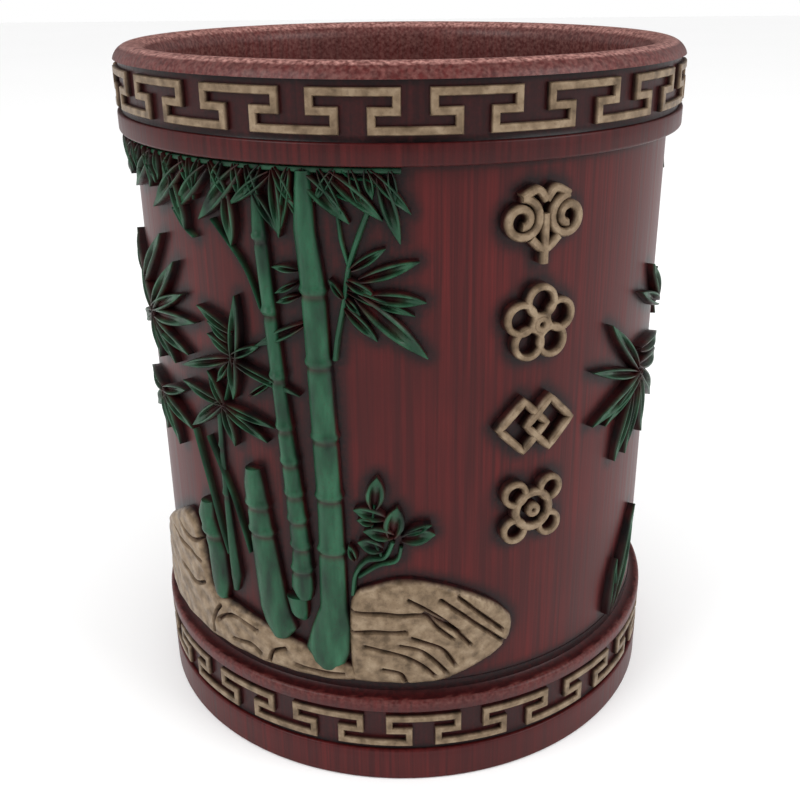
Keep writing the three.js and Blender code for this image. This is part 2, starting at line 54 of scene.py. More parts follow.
# Sizes in millimetres, read from the frame
FIT_GAP = 0.3
WALL_RADIUS = limit("wall_tube", 1, 0)
WALL_TOP = limit("wall_tube", 1, 2)
RING_RADIUS = limit("foot_ring", 1, 0)
FOOT_TOP = limit("foot_ring", 1, 2)
RIM_BOTTOM = limit("rim_ring", 0, 2)
POT_TOP = limit("rim_ring", 1, 2)
FLOOR_RADIUS = limit("floor_disc", 1, 0)
FLOOR_TOP = limit("floor_disc", 1, 2)
LEDGE_TOP = limit("floor_disc", 0, 2)
RIM_FRET = (limit("rim_fret", 0, 2), limit("rim_fret", 1, 2))
FOOT_FRET = (limit("foot_fret", 0, 2), limit("foot_fret", 1, 2))
BORE_RADIUS = FLOOR_RADIUS + FIT_GAP

# Paint and lacquer colours
LACQUER_DEEP = (0.038, 0.0036, 0.0038)
LACQUER_BRIGHT = (0.082, 0.0066, 0.0064)
LACQUER_WORN = (0.58, 0.3, 0.26)
WASH_AND_SHADE_BLACK = (0.006, 0.0028, 0.0034)
GREEN_DEEP = (0.002, 0.015, 0.007)
GREEN_MIDDLE = (0.006, 0.05, 0.022)
GREEN_PALE = (0.022, 0.108, 0.054)
BRONZE_DARK = (0.085, 0.055, 0.03)
BRONZE_MIDDLE = (0.19, 0.132, 0.08)
BRONZE_PALE = (0.31, 0.235, 0.155)

# Grain of the finishes: noise scales per metre, and how each is drawn out
STREAK_SCALE = 1500
STREAK_STRETCH = (1, 1, 0.02)
CLOUD_SCALE = 55
LACQUER_GRAIN = 1600
PAINT_GRAIN = 2600
BAMBOO_SCALE = 420
BAMBOO_STRETCH = (1, 1, 0.25)
BRONZE_SCALE = 520
BRONZE_METAL = 0.25
EVEN = (1, 1, 1)


def new_material(name):
    material = bpy.data.materials.new(name)
    material.use_nodes = True
    shader = material.node_tree.nodes["Principled BSDF"]
    return material, material.node_tree, shader


def link(tree, source, out, target, into):
    tree.links.new(source.outputs[out], target.inputs[into])


def noise(tree, scale, detail, stretch=EVEN):
    """A noise on object coordinates; stretch below 1 draws it out along that axis."""
    place = tree.nodes.new("ShaderNodeTexCoord")
    mapping = tree.nodes.new("ShaderNodeMapping")
    mapping.inputs["Scale"].default_value = stretch
    texture = tree.nodes.new("ShaderNodeTexNoise")
    texture.inputs["Scale"].default_value = scale
    texture.inputs["Detail"].default_value = detail
    link(tree, place, "Object", mapping, "Vector")
    link(tree, mapping, "Vector", texture, "Vector")
    return texture


def ramp(tree, source, stops):
    """A colour ramp on the first output of a node; stops are (place, colour) from low to high."""
    node = tree.nodes.new("ShaderNodeValToRGB")
    while len(node.color_ramp.elements) < len(stops):
        node.color_ramp.elements.new(0.5)
    for element, (position, color) in zip(node.color_ramp.elements, stops):
        element.position = position
        element.color = (*color, 1)
    link(tree, source, 0, node, "Fac")
    return node


def grey(value):
    return (value, value, value)


# Sockets of a Mix node that is set to colours
MIX_FACTOR, MIX_FIRST, MIX_SECOND, MIX_RESULT = 0, 6, 7, 2


def blend(tree, factor, factor_out, first, second):
    """Mixes two colours; each is a plain colour, a ramp or another mix."""
    node = tree.nodes.new("ShaderNodeMix")
    node.data_type = "RGBA"
    link(tree, factor, factor_out, node, MIX_FACTOR)
    for into, value in ((MIX_FIRST, first), (MIX_SECOND, second)):
        if isinstance(value, tuple):
            node.inputs[into].default_value = (*value, 1)
        elif value.bl_idname == "ShaderNodeMix":
            link(tree, value, MIX_RESULT, node, into)
        else:
            link(tree, value, "Color", node, into)
    return node


def masked(tree, name, pattern):
    """A point value of the mesh, broken up by a pattern."""
    value = tree.nodes.new("ShaderNodeAttribute")
    value.attribute_name = name
    node = tree.nodes.new("ShaderNodeMath")
    node.operation = "MULTIPLY"
    link(tree, value, "Fac", node, 0)
    link(tree, pattern, "Color", node, 1)
    return node


def bump(tree, shader, texture, strength, distance):
    node = tree.nodes.new("ShaderNodeBump")
    node.inputs["Strength"].default_value = strength
    node.inputs["Distance"].default_value = distance
    link(tree, texture, 0, node, "Height")
    link(tree, node, "Normal", shader, "Normal")


def lacquer_material():
    """Dark red lacquer: brushed up and down, black wash and painted shade in the recesses and where
    parts meet, painted shade on the rim's lower band, worn on the bead.
    """
    material, tree, shader = new_material("red_lacquer_brushed")
    streaks = noise(tree, STREAK_SCALE, 5, STREAK_STRETCH)
    clouds = noise(tree, CLOUD_SCALE, 3)
    tone = ramp(tree, streaks, [(0.36, LACQUER_DEEP), (0.66, LACQUER_BRIGHT)])
    shade = ramp(tree, clouds, [(0.35, grey(0)), (0.7, grey(0.55))])
    cloudy = blend(tree, shade, "Color", tone, LACQUER_DEEP)
    grain = noise(tree, LACQUER_GRAIN, 3)
    speckle = ramp(tree, grain, [(0.36, grey(0.15)), (0.7, grey(0.8))])
    rubbed = blend(tree, masked(tree, "worn", speckle), 0, cloudy, LACQUER_WORN)
    broken = ramp(tree, grain, [(0.25, grey(0.65)), (0.6, grey(1))])
    # The black wash mask is partly real antiquing wash and partly painted shade: in sunk grounds, under
    # lips, round the relief and where the rings meet the wall; on the rim's lower band it is painted
    # shade only.
    final = blend(tree, masked(tree, "wash_and_painted_shade", broken), 0, rubbed, WASH_AND_SHADE_BLACK)
    link(tree, final, MIX_RESULT, shader, "Base Color")
    rough = ramp(tree, streaks, [(0.2, grey(0.34)), (0.8, grey(0.5))])
    link(tree, rough, "Color", shader, "Roughness")
    shader.inputs["Coat Weight"].default_value = 0.08
    shader.inputs["Specular IOR Level"].default_value = 0.16
    shader.inputs["Coat Roughness"].default_value = 0.22
    bump(tree, shader, streaks, 0.12, 0.0002)
    return material


def painted_material(name, shades, metallic, scale, stretch):
    """Paint dragged over the raised parts, thin in the hollows where the dark lacquer shows."""
    deep, middle, pale = shades
    material, tree, shader = new_material(name)
    tone = noise(tree, scale, 5, stretch)
    grain = noise(tree, PAINT_GRAIN, 3)
    paint = ramp(tree, tone, [(0.28, deep), (0.5, middle), (0.78, pale)])
    lacquer = ramp(tree, tone, [(0.35, WASH_AND_SHADE_BLACK), (0.7, LACQUER_DEEP)])
    chips = ramp(tree, grain, [(0.3, grey(0.75)), (0.46, grey(1))])
    cover = masked(tree, "paint", chips)
    cover.use_clamp = True
    final = blend(tree, cover, 0, lacquer, paint)
    link(tree, final, MIX_RESULT, shader, "Base Color")
    rough = ramp(tree, grain, [(0.3, grey(0.36)), (0.7, grey(0.55))])
    link(tree, rough, "Color", shader, "Roughness")
    shader.inputs["Metallic"].default_value = metallic
    shader.inputs["Coat Weight"].default_value = 0.06
    shader.inputs["Specular IOR Level"].default_value = 0.25
    shader.inputs["Coat Roughness"].default_value = 0.3
    bump(tree, shader, tone, 0.35, 0.0003)
    return material


red_lacquer = lacquer_material()
bamboo_paint = painted_material(
    "bamboo_green_paint", (GREEN_DEEP, GREEN_MIDDLE, GREEN_PALE), 0.0, BAMBOO_SCALE, BAMBOO_STRETCH)
bronze_paint = painted_material(
    "aged_bronze_paint", (BRONZE_DARK, BRONZE_MIDDLE, BRONZE_PALE), BRONZE_METAL, BRONZE_SCALE, EVEN)

SMOOTH_UP_TO = math.radians(42)
PAINTS = {"bamboo_green": bamboo_paint, "aged_bronze": bronze_paint}


def make_piece(name, points, faces, material, values):
    """A mesh from millimetres, with its faces pointing out and its named point values."""
    mesh = bpy.data.meshes.new(name)
    mesh.from_pydata([tuple(c * MM for c in p) for p in points], [], faces)
    for key, numbers in values.items():
        data = mesh.attributes.new(key, "FLOAT", "POINT")
        data.data.foreach_set("value", [float(n) for n in numbers])
    work = bmesh.new()
    work.from_mesh(mesh)
    bmesh.ops.recalc_face_normals(work, faces=work.faces)
    work.to_mesh(mesh)
    work.free()
    mesh.polygons.foreach_set("use_smooth", [True] * len(mesh.polygons))
    mesh.set_sharp_from_angle(angle=SMOOTH_UP_TO)
    mesh.materials.append(material)
    piece = bpy.data.objects.new(name, mesh)
    bpy.context.scene.collection.objects.link(piece)
    return piece


def fit_to_frame(piece, node):
    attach(piece, "root")
    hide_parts(node)


# Turned pieces: a profile of (radius, z, wash and painted shade, worn) that closes on itself
TURN_STEPS = 256
PROFILE_STEP = 1.5
MERGE_METRES = 1e-7
DISSOLVE_METRES = 1e-8


def arc(center, radius, start, end, steps):
    """Points of an arc in the (radius, z) plane, with angles from the outward direction."""
    points = []
    for i in range(steps + 1):
        angle = start + (end - start) * i / steps
        points.append((center[0] + radius * math.cos(angle), center[1] + radius * math.sin(angle)))
    return points


def coated(pairs, wash_and_painted_shade=0.0, worn=0.0):
    """Gives each (radius, z) of a profile its share of black wash and painted shade, and of wear."""
    return [(r, z, wash_and_painted_shade, worn) for r, z in pairs]


def dense(profile):
    """The same profile with long stretches cut into shorter ones."""
    out = []
    for a, b in zip(profile, profile[1:] + profile[:1]):
        count = max(1, math.ceil(math.hypot(b[0] - a[0], b[1] - a[1]) / PROFILE_STEP))
        out += [tuple(p + (q - p) * k / count for p, q in zip(a, b)) for k in range(count)]
    return out


def turned(name, profile, on_axis=False, steps=TURN_STEPS):
    """Turns a profile round the axis; on_axis leaves its stretch along the axis open."""
    points, faces, wash_and_painted_shade, worn = [], [], [], []
    count = len(profile)
    for k in range(steps):
        angle = 2 * math.pi * k / steps
        for r, z, wash_and_painted_shade_share, rubbed in profile:
            points.append((r * math.sin(angle), -r * math.cos(angle), z))
            wash_and_painted_shade.append(wash_and_painted_shade_share)
            worn.append(rubbed)
    for k in range(steps):
        n = (k + 1) % steps
        for i in range(count - 1 if on_axis else count):
            j = (i + 1) % count
            faces.append((k * count + i, k * count + j, n * count + j, n * count + i))
    piece = make_piece(name, points, faces, red_lacquer, {"wash_and_painted_shade": wash_and_painted_shade, "worn": worn})
    work = bmesh.new()
    work.from_mesh(piece.data)
    bmesh.ops.remove_doubles(work, verts=work.verts, dist=MERGE_METRES)
    bmesh.ops.dissolve_degenerate(work, edges=work.edges, dist=DISSOLVE_METRES)
    bmesh.ops.recalc_face_normals(work, faces=work.faces)
    work.to_mesh(piece.data)
    work.free()
    return piece


# Both rings: the sunk ground behind a fret, whose corners hold the most black wash and painted shade
QUARTER = math.pi / 2
RING_SEAT = WALL_RADIUS + 0.1
GROUND_MARGIN = 1.0
GROUND_RADIUS = RING_RADIUS - 0.9
GROUND_CORNER = (0.1, 0.15)
CORNER_WASH_AND_SHADE_REACH = 1.0

# Rim ring; the arcs of its bead are (start, end, steps, wear), in half turns
RIM_EDGE_ROUND = 0.5
RIM_STEP_ROUND = 0.3
# The rim's lower band is darkened as painted shade, for a band that faces away from the light above; its
# sunk ground holds black wash and painted shade.
RIM_BAND_PAINTED_SHADE = 0.3
RIM_GROUND_WASH_AND_SHADE = 0.7
RIM_GROUND_TOP = 0.1
BEAD_RADIUS = (RING_RADIUS - BORE_RADIUS) / 2
BEAD_CENTER = (RING_RADIUS - BEAD_RADIUS, POT_TOP - BEAD_RADIUS)
BEAD_FACE_END = 0.3 * math.pi
BEAD_ARCS = ((0.35, 0.72, 12, 0.9), (0.78, 1.0, 8, 0.25))
MOUTH_WORN = 0.2

# Foot ring and floor; the black wash and painted shade under the lip is (share, gap, reach), the lip
# (inset, rise); the sunk ground and the cove take wash and painted shade too
FOOT_CHAMFER = 0.3
FOOT_STEP_ROUND = 0.4
FOOT_STEP_START = 0.3
FOOT_GROUND_WASH_AND_SHADE = 0.65
FOOT_TOP_WASH_AND_SHADE = (0.9, 0.05, 0.9)
FOOT_LIP = (0.15, 0.2)
FOOT_UPPER_BAND = 2.4
SHOULDER_ROUND = 0.7
SHOULDER_WORN = 0.12
COVE_END = -0.93 * math.pi
COVE_WASH_AND_SHADE = 0.55
LEDGE_WIDTH = 3.6
FLOOR_CHAMFER = 0.4
FLOOR_STEPS = 96


def fret_ground(low):
    """The lower corner of the sunk ground behind a fret, at full black wash and painted shade."""
    inset, rise = GROUND_CORNER
    return coated([(GROUND_RADIUS + inset, low), (GROUND_RADIUS, low + rise)], 1)


def rim_piece():
    low = RIM_FRET[0] - GROUND_MARGIN
    high = RIM_FRET[1] + GROUND_MARGIN
    bead_start = math.asin(min(1, (high - BEAD_CENTER[1]) / BEAD_RADIUS))
    edge_radius = RING_RADIUS - RIM_EDGE_ROUND
    step_center = (RING_RADIUS - RIM_STEP_ROUND, low - RIM_STEP_ROUND)
    profile = coated([(RING_SEAT, RIM_BOTTOM), (edge_radius, RIM_BOTTOM)], RIM_BAND_PAINTED_SHADE)
    profile += coated(arc((edge_radius, RIM_BOTTOM + RIM_EDGE_ROUND), RIM_EDGE_ROUND, -QUARTER, 0, 5),
                      RIM_BAND_PAINTED_SHADE)
    profile += coated(arc(step_center, RIM_STEP_ROUND, 0, QUARTER, 3), RIM_BAND_PAINTED_SHADE)
    profile += fret_ground(low)
    profile += coated([(GROUND_RADIUS, low + CORNER_WASH_AND_SHADE_REACH),
                       (GROUND_RADIUS, high - CORNER_WASH_AND_SHADE_REACH)], RIM_GROUND_WASH_AND_SHADE)
    profile += coated([(GROUND_RADIUS, high - RIM_GROUND_TOP)], 1)
    profile += coated(arc(BEAD_CENTER, BEAD_RADIUS, bead_start, BEAD_FACE_END, 8), 0, MOUTH_WORN)
    for start, end, steps, worn in BEAD_ARCS:
        bead = arc(BEAD_CENTER, BEAD_RADIUS, start * math.pi, end * math.pi, steps)
        profile += coated(bead, 0, worn)
    profile += coated([(BORE_RADIUS, WALL_TOP)], 0, MOUTH_WORN)
    profile += coated([(RING_SEAT, WALL_TOP)])
    return turned("rim_ring_lacquer", dense(profile))


def foot_piece():
    low = FOOT_FRET[0] - GROUND_MARGIN
    high = FOOT_FRET[1] + GROUND_MARGIN
    cove_low = high + FOOT_UPPER_BAND
    ledge = BORE_RADIUS - LEDGE_WIDTH
    step_center = (RING_RADIUS - FOOT_STEP_ROUND, low - FOOT_STEP_ROUND)
    shoulder = (RING_RADIUS - SHOULDER_ROUND, cove_low - SHOULDER_ROUND)
    cove_center = (RING_RADIUS - SHOULDER_ROUND, FOOT_TOP)
    top_wash_and_shade, top_gap, top_reach = FOOT_TOP_WASH_AND_SHADE
    lip_inset, lip_rise = FOOT_LIP
    profile = coated([(ledge, 0), (RING_RADIUS - FOOT_CHAMFER, 0)])
    profile += coated([(RING_RADIUS, FOOT_CHAMFER), (RING_RADIUS, step_center[1])])
    profile += coated(arc(step_center, FOOT_STEP_ROUND, FOOT_STEP_START, QUARTER, 3))
    profile += fret_ground(low)
    profile += coated([(GROUND_RADIUS, low + CORNER_WASH_AND_SHADE_REACH), (GROUND_RADIUS, high - top_reach)],
                      FOOT_GROUND_WASH_AND_SHADE)
    profile += coated([(GROUND_RADIUS, high - top_gap)], top_wash_and_shade)
    profile += coated([(RING_RADIUS - lip_inset, high), (RING_RADIUS, high + lip_rise)])
    profile += coated(arc(shoulder, SHOULDER_ROUND, 0, QUARTER, 5), 0, SHOULDER_WORN)
    profile += coated(arc(cove_center, FOOT_TOP - cove_low, -QUARTER, COVE_END, 6), COVE_WASH_AND_SHADE)
    profile += coated([(RING_SEAT, FOOT_TOP)], 1)
    profile += coated([(RING_SEAT, LEDGE_TOP), (ledge, LEDGE_TOP)])
    return turned("foot_ring_lacquer", dense(profile))


def floor_piece():
    profile = coated([(0, LEDGE_TOP), (FLOOR_RADIUS, LEDGE_TOP),
                      (FLOOR_RADIUS, FLOOR_TOP - FLOOR_CHAMFER),
                      (FLOOR_RADIUS - FLOOR_CHAMFER, FLOOR_TOP), (FLOOR_RADIUS / 2, FLOOR_TOP),
                      (0, FLOOR_TOP)])
    return turned("floor_lacquer", profile, on_axis=True, steps=FLOOR_STEPS)


# The key fret: one unit of the line, copied into a full round by a node tree
FRET_UNITS = 18
FRET_LINE = 1.25
FRET_HOOK = 3.5
FRET_BACK = 1.0
FRET_STEP = 1.0
RIM_FRET_START = 4.7
FOOT_FRET_START = -3.1
FRET_WELD = 0.00002


def mirrored(half, middle=()):
    """A whole section of (share of half width, level, paint) from its right half, foot first."""
    return [(-x, level, paint) for x, level, paint in half] + [*middle, *half[::-1]]


# Levels here go inwards from the ring's radius
FRET_SECTION = mirrored([(1, FRET_BACK, 0), (1, 0.55, 0.1), (0.98, 0.22, 0.6), (0.74, 0.02, 1)],
                        [(0, 0, 0.95)])


def divided(corners, step):
    """The line through the corners, with points about a step apart."""
    line = []
    for a, b in zip(corners, corners[1:]):
        count = max(1, round(math.dist(a, b) / step))
        for k in range(count):
            line.append((a[0] + (b[0] - a[0]) * k / count, a[1] + (b[1] - a[1]) * k / count))
    line.append(corners[-1])
    return line


def fret_line(half):
    """One period of the fret from the middle of an upper bar to the middle of the next."""
    period = 2 * math.pi * RING_RADIUS / FRET_UNITS
    step = period / 2
    bar = step + FRET_HOOK
    return divided([(bar / 2, half), (bar, half), (bar, 0), (step, 0), (step, -half),
                    (step + bar, -half), (step + bar, 0), (period, 0), (period, half),
                    (period + bar / 2, half)], FRET_STEP)


def fret_unit(name, start, low, high):
    middle = (low + high) / 2
    line = fret_line((high - low - FRET_LINE) / 2)
    points, faces, paint = [], [], []
    for i, (s, z) in enumerate(line):
        before = line[i - 1] if i else (s - 1, z)
        after = line[i + 1] if i + 1 < len(line) else (s + 1, z)
        into = Vector((s - before[0], z - before[1])).normalized()
        out = Vector((after[0] - s, after[1] - z)).normalized()
        mitre = Vector((-into.y - out.y, into.x + out.x)) / (1 + into.dot(out))
        for share, sink, value in FRET_SECTION:
            offset = share * FRET_LINE / 2
            angle = (start + s + mitre.x * offset) / RING_RADIUS
            radius = RING_RADIUS - sink
            points.append((radius * math.sin(angle), -radius * math.cos(angle),
                           middle + z + mitre.y * offset))
            paint.append(value)
    width = len(FRET_SECTION)
    for i in range(len(line) - 1):
        for k in range(width):
            n = (k + 1) % width
            faces.append((i * width + k, i * width + n, (i + 1) * width + n, (i + 1) * width + k))
    return make_piece(name, points, faces, bronze_paint, {"paint": paint})


def round_tree():
    """Copies a unit round the axis, welds the copies and sets the material."""
    tree = bpy.data.node_groups.new("fret_round", "GeometryNodeTree")
    face = tree.interface
    face.new_socket("Geometry", in_out="INPUT", socket_type="NodeSocketGeometry")
    units = face.new_socket("Units", in_out="INPUT", socket_type="NodeSocketInt")
    weld = face.new_socket("Weld", in_out="INPUT", socket_type="NodeSocketFloat")
    paint = face.new_socket("Paint", in_out="INPUT", socket_type="NodeSocketMaterial")
    face.new_socket("Geometry", in_out="OUTPUT", socket_type="NodeSocketGeometry")
    node = tree.nodes.new
    entry = node("NodeGroupInput")
    leave = node("NodeGroupOutput")
    row = node("GeometryNodeMeshLine")
    row.inputs["Offset"].default_value = (0, 0, 0)
    copies = node("GeometryNodeInstanceOnPoints")
    index = node("GeometryNodeInputIndex")
    one_turn = node("ShaderNodeMath")
    one_turn.operation = "DIVIDE"
    one_turn.inputs[0].default_value = 2 * math.pi
    angle = node("ShaderNodeMath")
    angle.operation = "MULTIPLY"
    rotation = node("ShaderNodeCombineXYZ")
    real = node("GeometryNodeRealizeInstances")
    merge = node("GeometryNodeMergeByDistance")
    finish = node("GeometryNodeSetMaterial")
    link(tree, entry, "Units", row, "Count")
    link(tree, row, "Mesh", copies, "Points")
    link(tree, entry, "Geometry", copies, "Instance")
    link(tree, entry, "Units", one_turn, 1)
    link(tree, index, 0, angle, 0)
    link(tree, one_turn, 0, angle, 1)
    link(tree, angle, 0, rotation, "Z")
    link(tree, rotation, 0, copies, "Rotation")
    link(tree, copies, 0, real, 0)
    link(tree, real, 0, merge, 0)
    link(tree, entry, "Weld", merge, "Distance")
    link(tree, merge, 0, finish, 0)
    link(tree, entry, "Paint", finish, "Material")
    link(tree, finish, 0, leave, 0)
    return tree, {units.identifier: FRET_UNITS, weld.identifier: FRET_WELD,
                  paint.identifier: bronze_paint}


def apply_tree(piece, tree, settings):
    """Runs a node tree on a piece and keeps the result as a plain mesh."""
    modifier = piece.modifiers.new("round", "NODES")
    modifier.node_group = tree
    for identifier, value in settings.items():
        modifier[identifier] = value
    graph = bpy.context.evaluated_depsgraph_get()
    mesh = bpy.data.meshes.new_from_object(piece.evaluated_get(graph), depsgraph=graph)
    piece.modifiers.remove(modifier)
    piece.data = mesh


def fret_pieces():
    tree, settings = round_tree()
    for node, start, (low, high) in (
        ("rim_fret", RIM_FRET_START, RIM_FRET),
        ("foot_fret", FOOT_FRET_START, FOOT_FRET),
    ):
        piece = fret_unit(node + "_bronze", start, low, high)
        apply_tree(piece, tree, settings)
        fit_to_frame(piece, node)


# Relief, drawn flat on the wall as (s, z, height) and bent round it
DRAWN_RADIUS = 49.3
RELIEF_BACK = -0.25
RELIEF_LIMIT = 2.35
LEAF_HEIGHT = 1.75
LEAF_HEIGHT_SPREAD = 0.3
LEAF_STEPS = 12
LEAF_TROUGH = 0.95
STEM_HEIGHT = 1.3
STEM_SPLITS = 6
CULM_HEIGHT = 2.15
CULM_STEP = 0.45
CULM_SIDES = 12
NODE_HALF = 0.5
WAIST_HALF = 0.45
WAIST_DROP = 1.0
BEAD_HEIGHT = 1.95
GOLDEN_SHARE = 0.618


def bent(s, z, height):
    angle = s / DRAWN_RADIUS
    radius = WALL_RADIUS + height
    return (radius * math.sin(angle), -radius * math.cos(angle), z)


def smooth_step(low, high, x):
    share = min(1, max(0, (x - low) / (high - low)))
    return share * share * (3 - 2 * share)


def smooth_line(points, steps):
    """A curve through the points, with so many steps between each two."""
    padded = [points[0], *points, points[-1]]
    out = []
    for a, b, c, d in zip(padded, padded[1:], padded[2:], padded[3:]):
        for k in range(steps):
            t = k / steps
            out.append(tuple(
                0.5 * (2 * q + (r - p) * t + (2 * p - 5 * q + 4 * r - v) * t * t
                       + (3 * q - p - 3 * r + v) * t ** 3)
                for p, q, r, v in zip(a, b, c, d)))
    out.append(tuple(points[-1]))
    return out


def across(a, b):
    """The unit direction to the left of the way from a to b."""
    length = math.dist(a, b)
    return (-(b[1] - a[1]) / length, (b[0] - a[0]) / length)


def leaf_half(u, width):
    """Half a blade's width at a share u of its length, drawn out toward the tip."""
    return width / 2 * max(0.06, math.sin(math.pi * min(1, u * 0.92 + 0.09)) ** 0.75)


def leaf_top(u, height):
    """A blade's level at a share u of its length, highest before its middle."""
    return height * (0.72 + 0.28 * math.sin(math.pi * min(1, u + 0.15)))


def leaf_section(u, top):
    """A blade's section at a share u of its length: raised rims, a dark trough, a green tip."""
    trough = LEAF_TROUGH * (1 - smooth_step(0.45, 0.9, u))
    hollow = 0.95 * smooth_step(0.38, 0.8, u)
    rims = smooth_step(0.02, 0.4, u)
    half = [(1.0, RELIEF_BACK, 0), (1.0, 0.6 * top, 0), (0.93, 0.9 * top, 0.35 * rims),
            (0.76, top, rims), (0.58, 0.97 * top, 0.85 * rims), (0.36, top - trough, hollow)]
    return mirrored(half, [(0.0, top - trough * 0.7, hollow)])


def stem_section(height):
    half = [(1, RELIEF_BACK, 0), (0.95, 0.5 * height, 0.4), (0.5, 0.92 * height, 1)]
    return mirrored(half, [(0, height, 1)])


def bead_section(height):
    return mirrored([(1, RELIEF_BACK, 0), (0.98, 0.5 * height, 0.05), (0.85, 0.88 * height, 0.8),
                     (0.5, height, 1)])


def culm_levels(top, bottom):
    levels = []
    while top > bottom:
        levels.append(top)
        top -= CULM_STEP
    return [*levels, bottom]


def culm_at(path, z):
    """Where the culm's middle lies at a level, and half its width there."""
    k = next(i for i, row in enumerate(path) if row[0] <= z + 1e-6)
    above, below = path[max(k - 1, 0)], path[max(k, 1)]
    share = (above[0] - z) / (above[0] - below[0])
    s = above[1] + (below[1] - above[1]) * share
    return s, (above[2] + (below[2] - above[2]) * share) / 2


class Relief:
    """The points, faces and paint of one relief piece."""

    def __init__(self):
        self.points = []
        self.faces = []
        self.paint = []
        self.leaves = 0

    def loft(self, rows, closed=False):
        """Joins sections of (s, z, height, paint) into one skin, with ends unless it is closed."""
        first = len(self.points)
        width = len(rows[0])
        for row in rows:
            for s, z, height, value in row:
                self.points.append(bent(s, z, height))
                self.paint.append(value)
        count = len(rows)
        for i in range(count if closed else count - 1):
            j = (i + 1) % count
            for k in range(width):
                n = (k + 1) % width
                self.faces.append((first + i * width + k, first + i * width + n,
                                   first + j * width + n, first + j * width + k))
        if not closed:
            self.faces.append(tuple(first + k for k in range(width)))
            self.faces.append(tuple(first + (count - 1) * width + k for k in range(width)))

    def sweep(self, line, width, section, closed=False):
        """Carries one section along a line."""
        last = len(line) - 1
        rows = []
        for i, (s, z) in enumerate(line):
            before = line[i - 1] if closed else line[max(i - 1, 0)]
            after = line[(i + 1) % len(line)] if closed else line[min(i + 1, last)]
            side = across(before, after)
            rows.append([(s + side[0] * x * width / 2, z + side[1] * x * width / 2, level, paint)
                         for x, level, paint in section])
        self.loft(rows, closed)

    def leaf(self, foot_s, foot_z, tip_s, tip_z, width):
        """A blade from its foot to its tip; neighbours differ a little in height."""
        self.leaves += 1
        height = LEAF_HEIGHT + LEAF_HEIGHT_SPREAD * ((self.leaves * GOLDEN_SHARE) % 1)
        side = across((foot_s, foot_z), (tip_s, tip_z))
        rows = []
        for i in range(LEAF_STEPS + 1):
            u = i / LEAF_STEPS
            half = leaf_half(u, width)
            s = foot_s + (tip_s - foot_s) * u
            z = foot_z + (tip_z - foot_z) * u
            rows.append([(s + side[0] * half * x, z + side[1] * half * x, level, paint)
                         for x, level, paint in leaf_section(u, leaf_top(u, height))])
        self.loft(rows)

    def stem(self, width, points):
        """A round-backed twig along given points."""
        self.sweep(smooth_line(points, STEM_SPLITS), width, stem_section(STEM_HEIGHT))

    def bead(self, line, width, height=BEAD_HEIGHT, closed=True):
        """A raised line with a soft bevelled face, for the ornaments."""
        self.sweep(line, width, bead_section(height), closed)

    def culm(self, path, nodes):
        """A half-round culm with a ridge at each node and a dark waist under it."""
        rows = []
        for z in culm_levels(path[0][0], path[-1][0]):
            s, half = culm_at(path, z)
            ridge = sum(math.exp(-((z - n) / NODE_HALF) ** 2) for n in nodes)
            waist = sum(math.exp(-((z - n + WAIST_DROP) / WAIST_HALF) ** 2) for n in nodes)
            half *= 1 + 0.15 * ridge - 0.06 * waist
            rise = min(CULM_HEIGHT, 1.5 * half) * (1 + 0.1 * ridge - 0.1 * waist)
            row = [(s - half, z, RELIEF_BACK, 0)]
            for step in range(1, CULM_SIDES):
                angle = math.pi * step / CULM_SIDES
                lift = math.sin(angle)
                level = min(RELIEF_LIMIT, rise * lift ** 0.7)
                paint = smooth_step(0.25, 0.55, lift) * (1 - 0.75 * min(1, waist))
                row.append((s - half * math.cos(angle), z, level, paint))
            row.append((s + half, z, RELIEF_BACK, 0))
            rows.append(row)
        self.loft(rows)

    def made(self, node, slot):
        piece = make_piece(node + "_relief", self.points, self.faces, PAINTS[slot],
                           {"paint": self.paint})
        fit_to_frame(piece, node)
        return piece


# Culms and stumps: rows of (z, s, width) from the top down, then the heights of the nodes
CULMS = {
    "culm_front": (
        [[108.6, -14.4, 2.6], [100, -14.6, 3.6], [92, -13.7, 4.2], [80, -13.3, 4.2], [65, -12.8, 4.4],
         [52, -12.4, 4.6], [35, -12.5, 5.2], [31, -13, 7.4], [26, -13.9, 8.6], [23.6, -13.8, 6.4],
         [22.4, -13.8, 2.4]],
        [91, 79.5, 67, 56.5, 46.5]),
    "culm_second": (
        [[105, -22.5, 1.8], [100, -22.3, 2.4], [85, -21.1, 2.5], [72, -20.1, 2.6], [60, -19, 3.2],
         [45, -17.9, 3.6], [38, -18.1, 4.4], [36, -17.7, 2.6]],
        [98.5, 87, 76.5, 68, 62, 56.3, 51.5, 46.5, 42]),
    "stump_near": (
        [[59, -26.6, 3], [56, -26.6, 4.3], [45, -25.5, 5.2], [32, -24, 6.4], [29, -22.9, 6.8],
         [27, -22.9, 3.4]],
        [52.5, 47.5]),
    "stump_left": (
        [[49, -38.8, 3], [46, -39.7, 4.4], [40, -37.4, 4.8], [33, -37, 4.6], [30, -36.7, 2.4]],
        [43]),
    "bulb_low": ([[36, -19.3, 4.2], [33, -18.9, 3.4], [31.4, -18.4, 1.6]], []),
    "culm_thin_left": (
        [[69, -34.1, 0.9], [60, -34.2, 1.1], [50, -33.9, 1.3], [42, -33.2, 1.9], [36, -32.6, 2.3],
         [32.5, -33.4, 1.2]],
        [61, 52]),
    "culm_back_a": (
        [[108.6, 95, 2.6], [70, 93.5, 4.2], [35, 92, 5.2], [27, 91.5, 7.4], [23, 91.5, 3]],
        [95, 82, 69, 56, 44]),
    "culm_back_b": ([[105, 103.5, 2], [60, 102, 3], [34, 101, 4.2], [30, 101, 2.4]],
                    [96, 87, 77, 67, 57, 47, 39]),
    "culm_back_c": ([[108.6, -118, 2.4], [60, -116.5, 4], [32, -115.5, 5.2], [27, -115.5, 3]],
                    [96, 84, 72, 60, 48]),
}

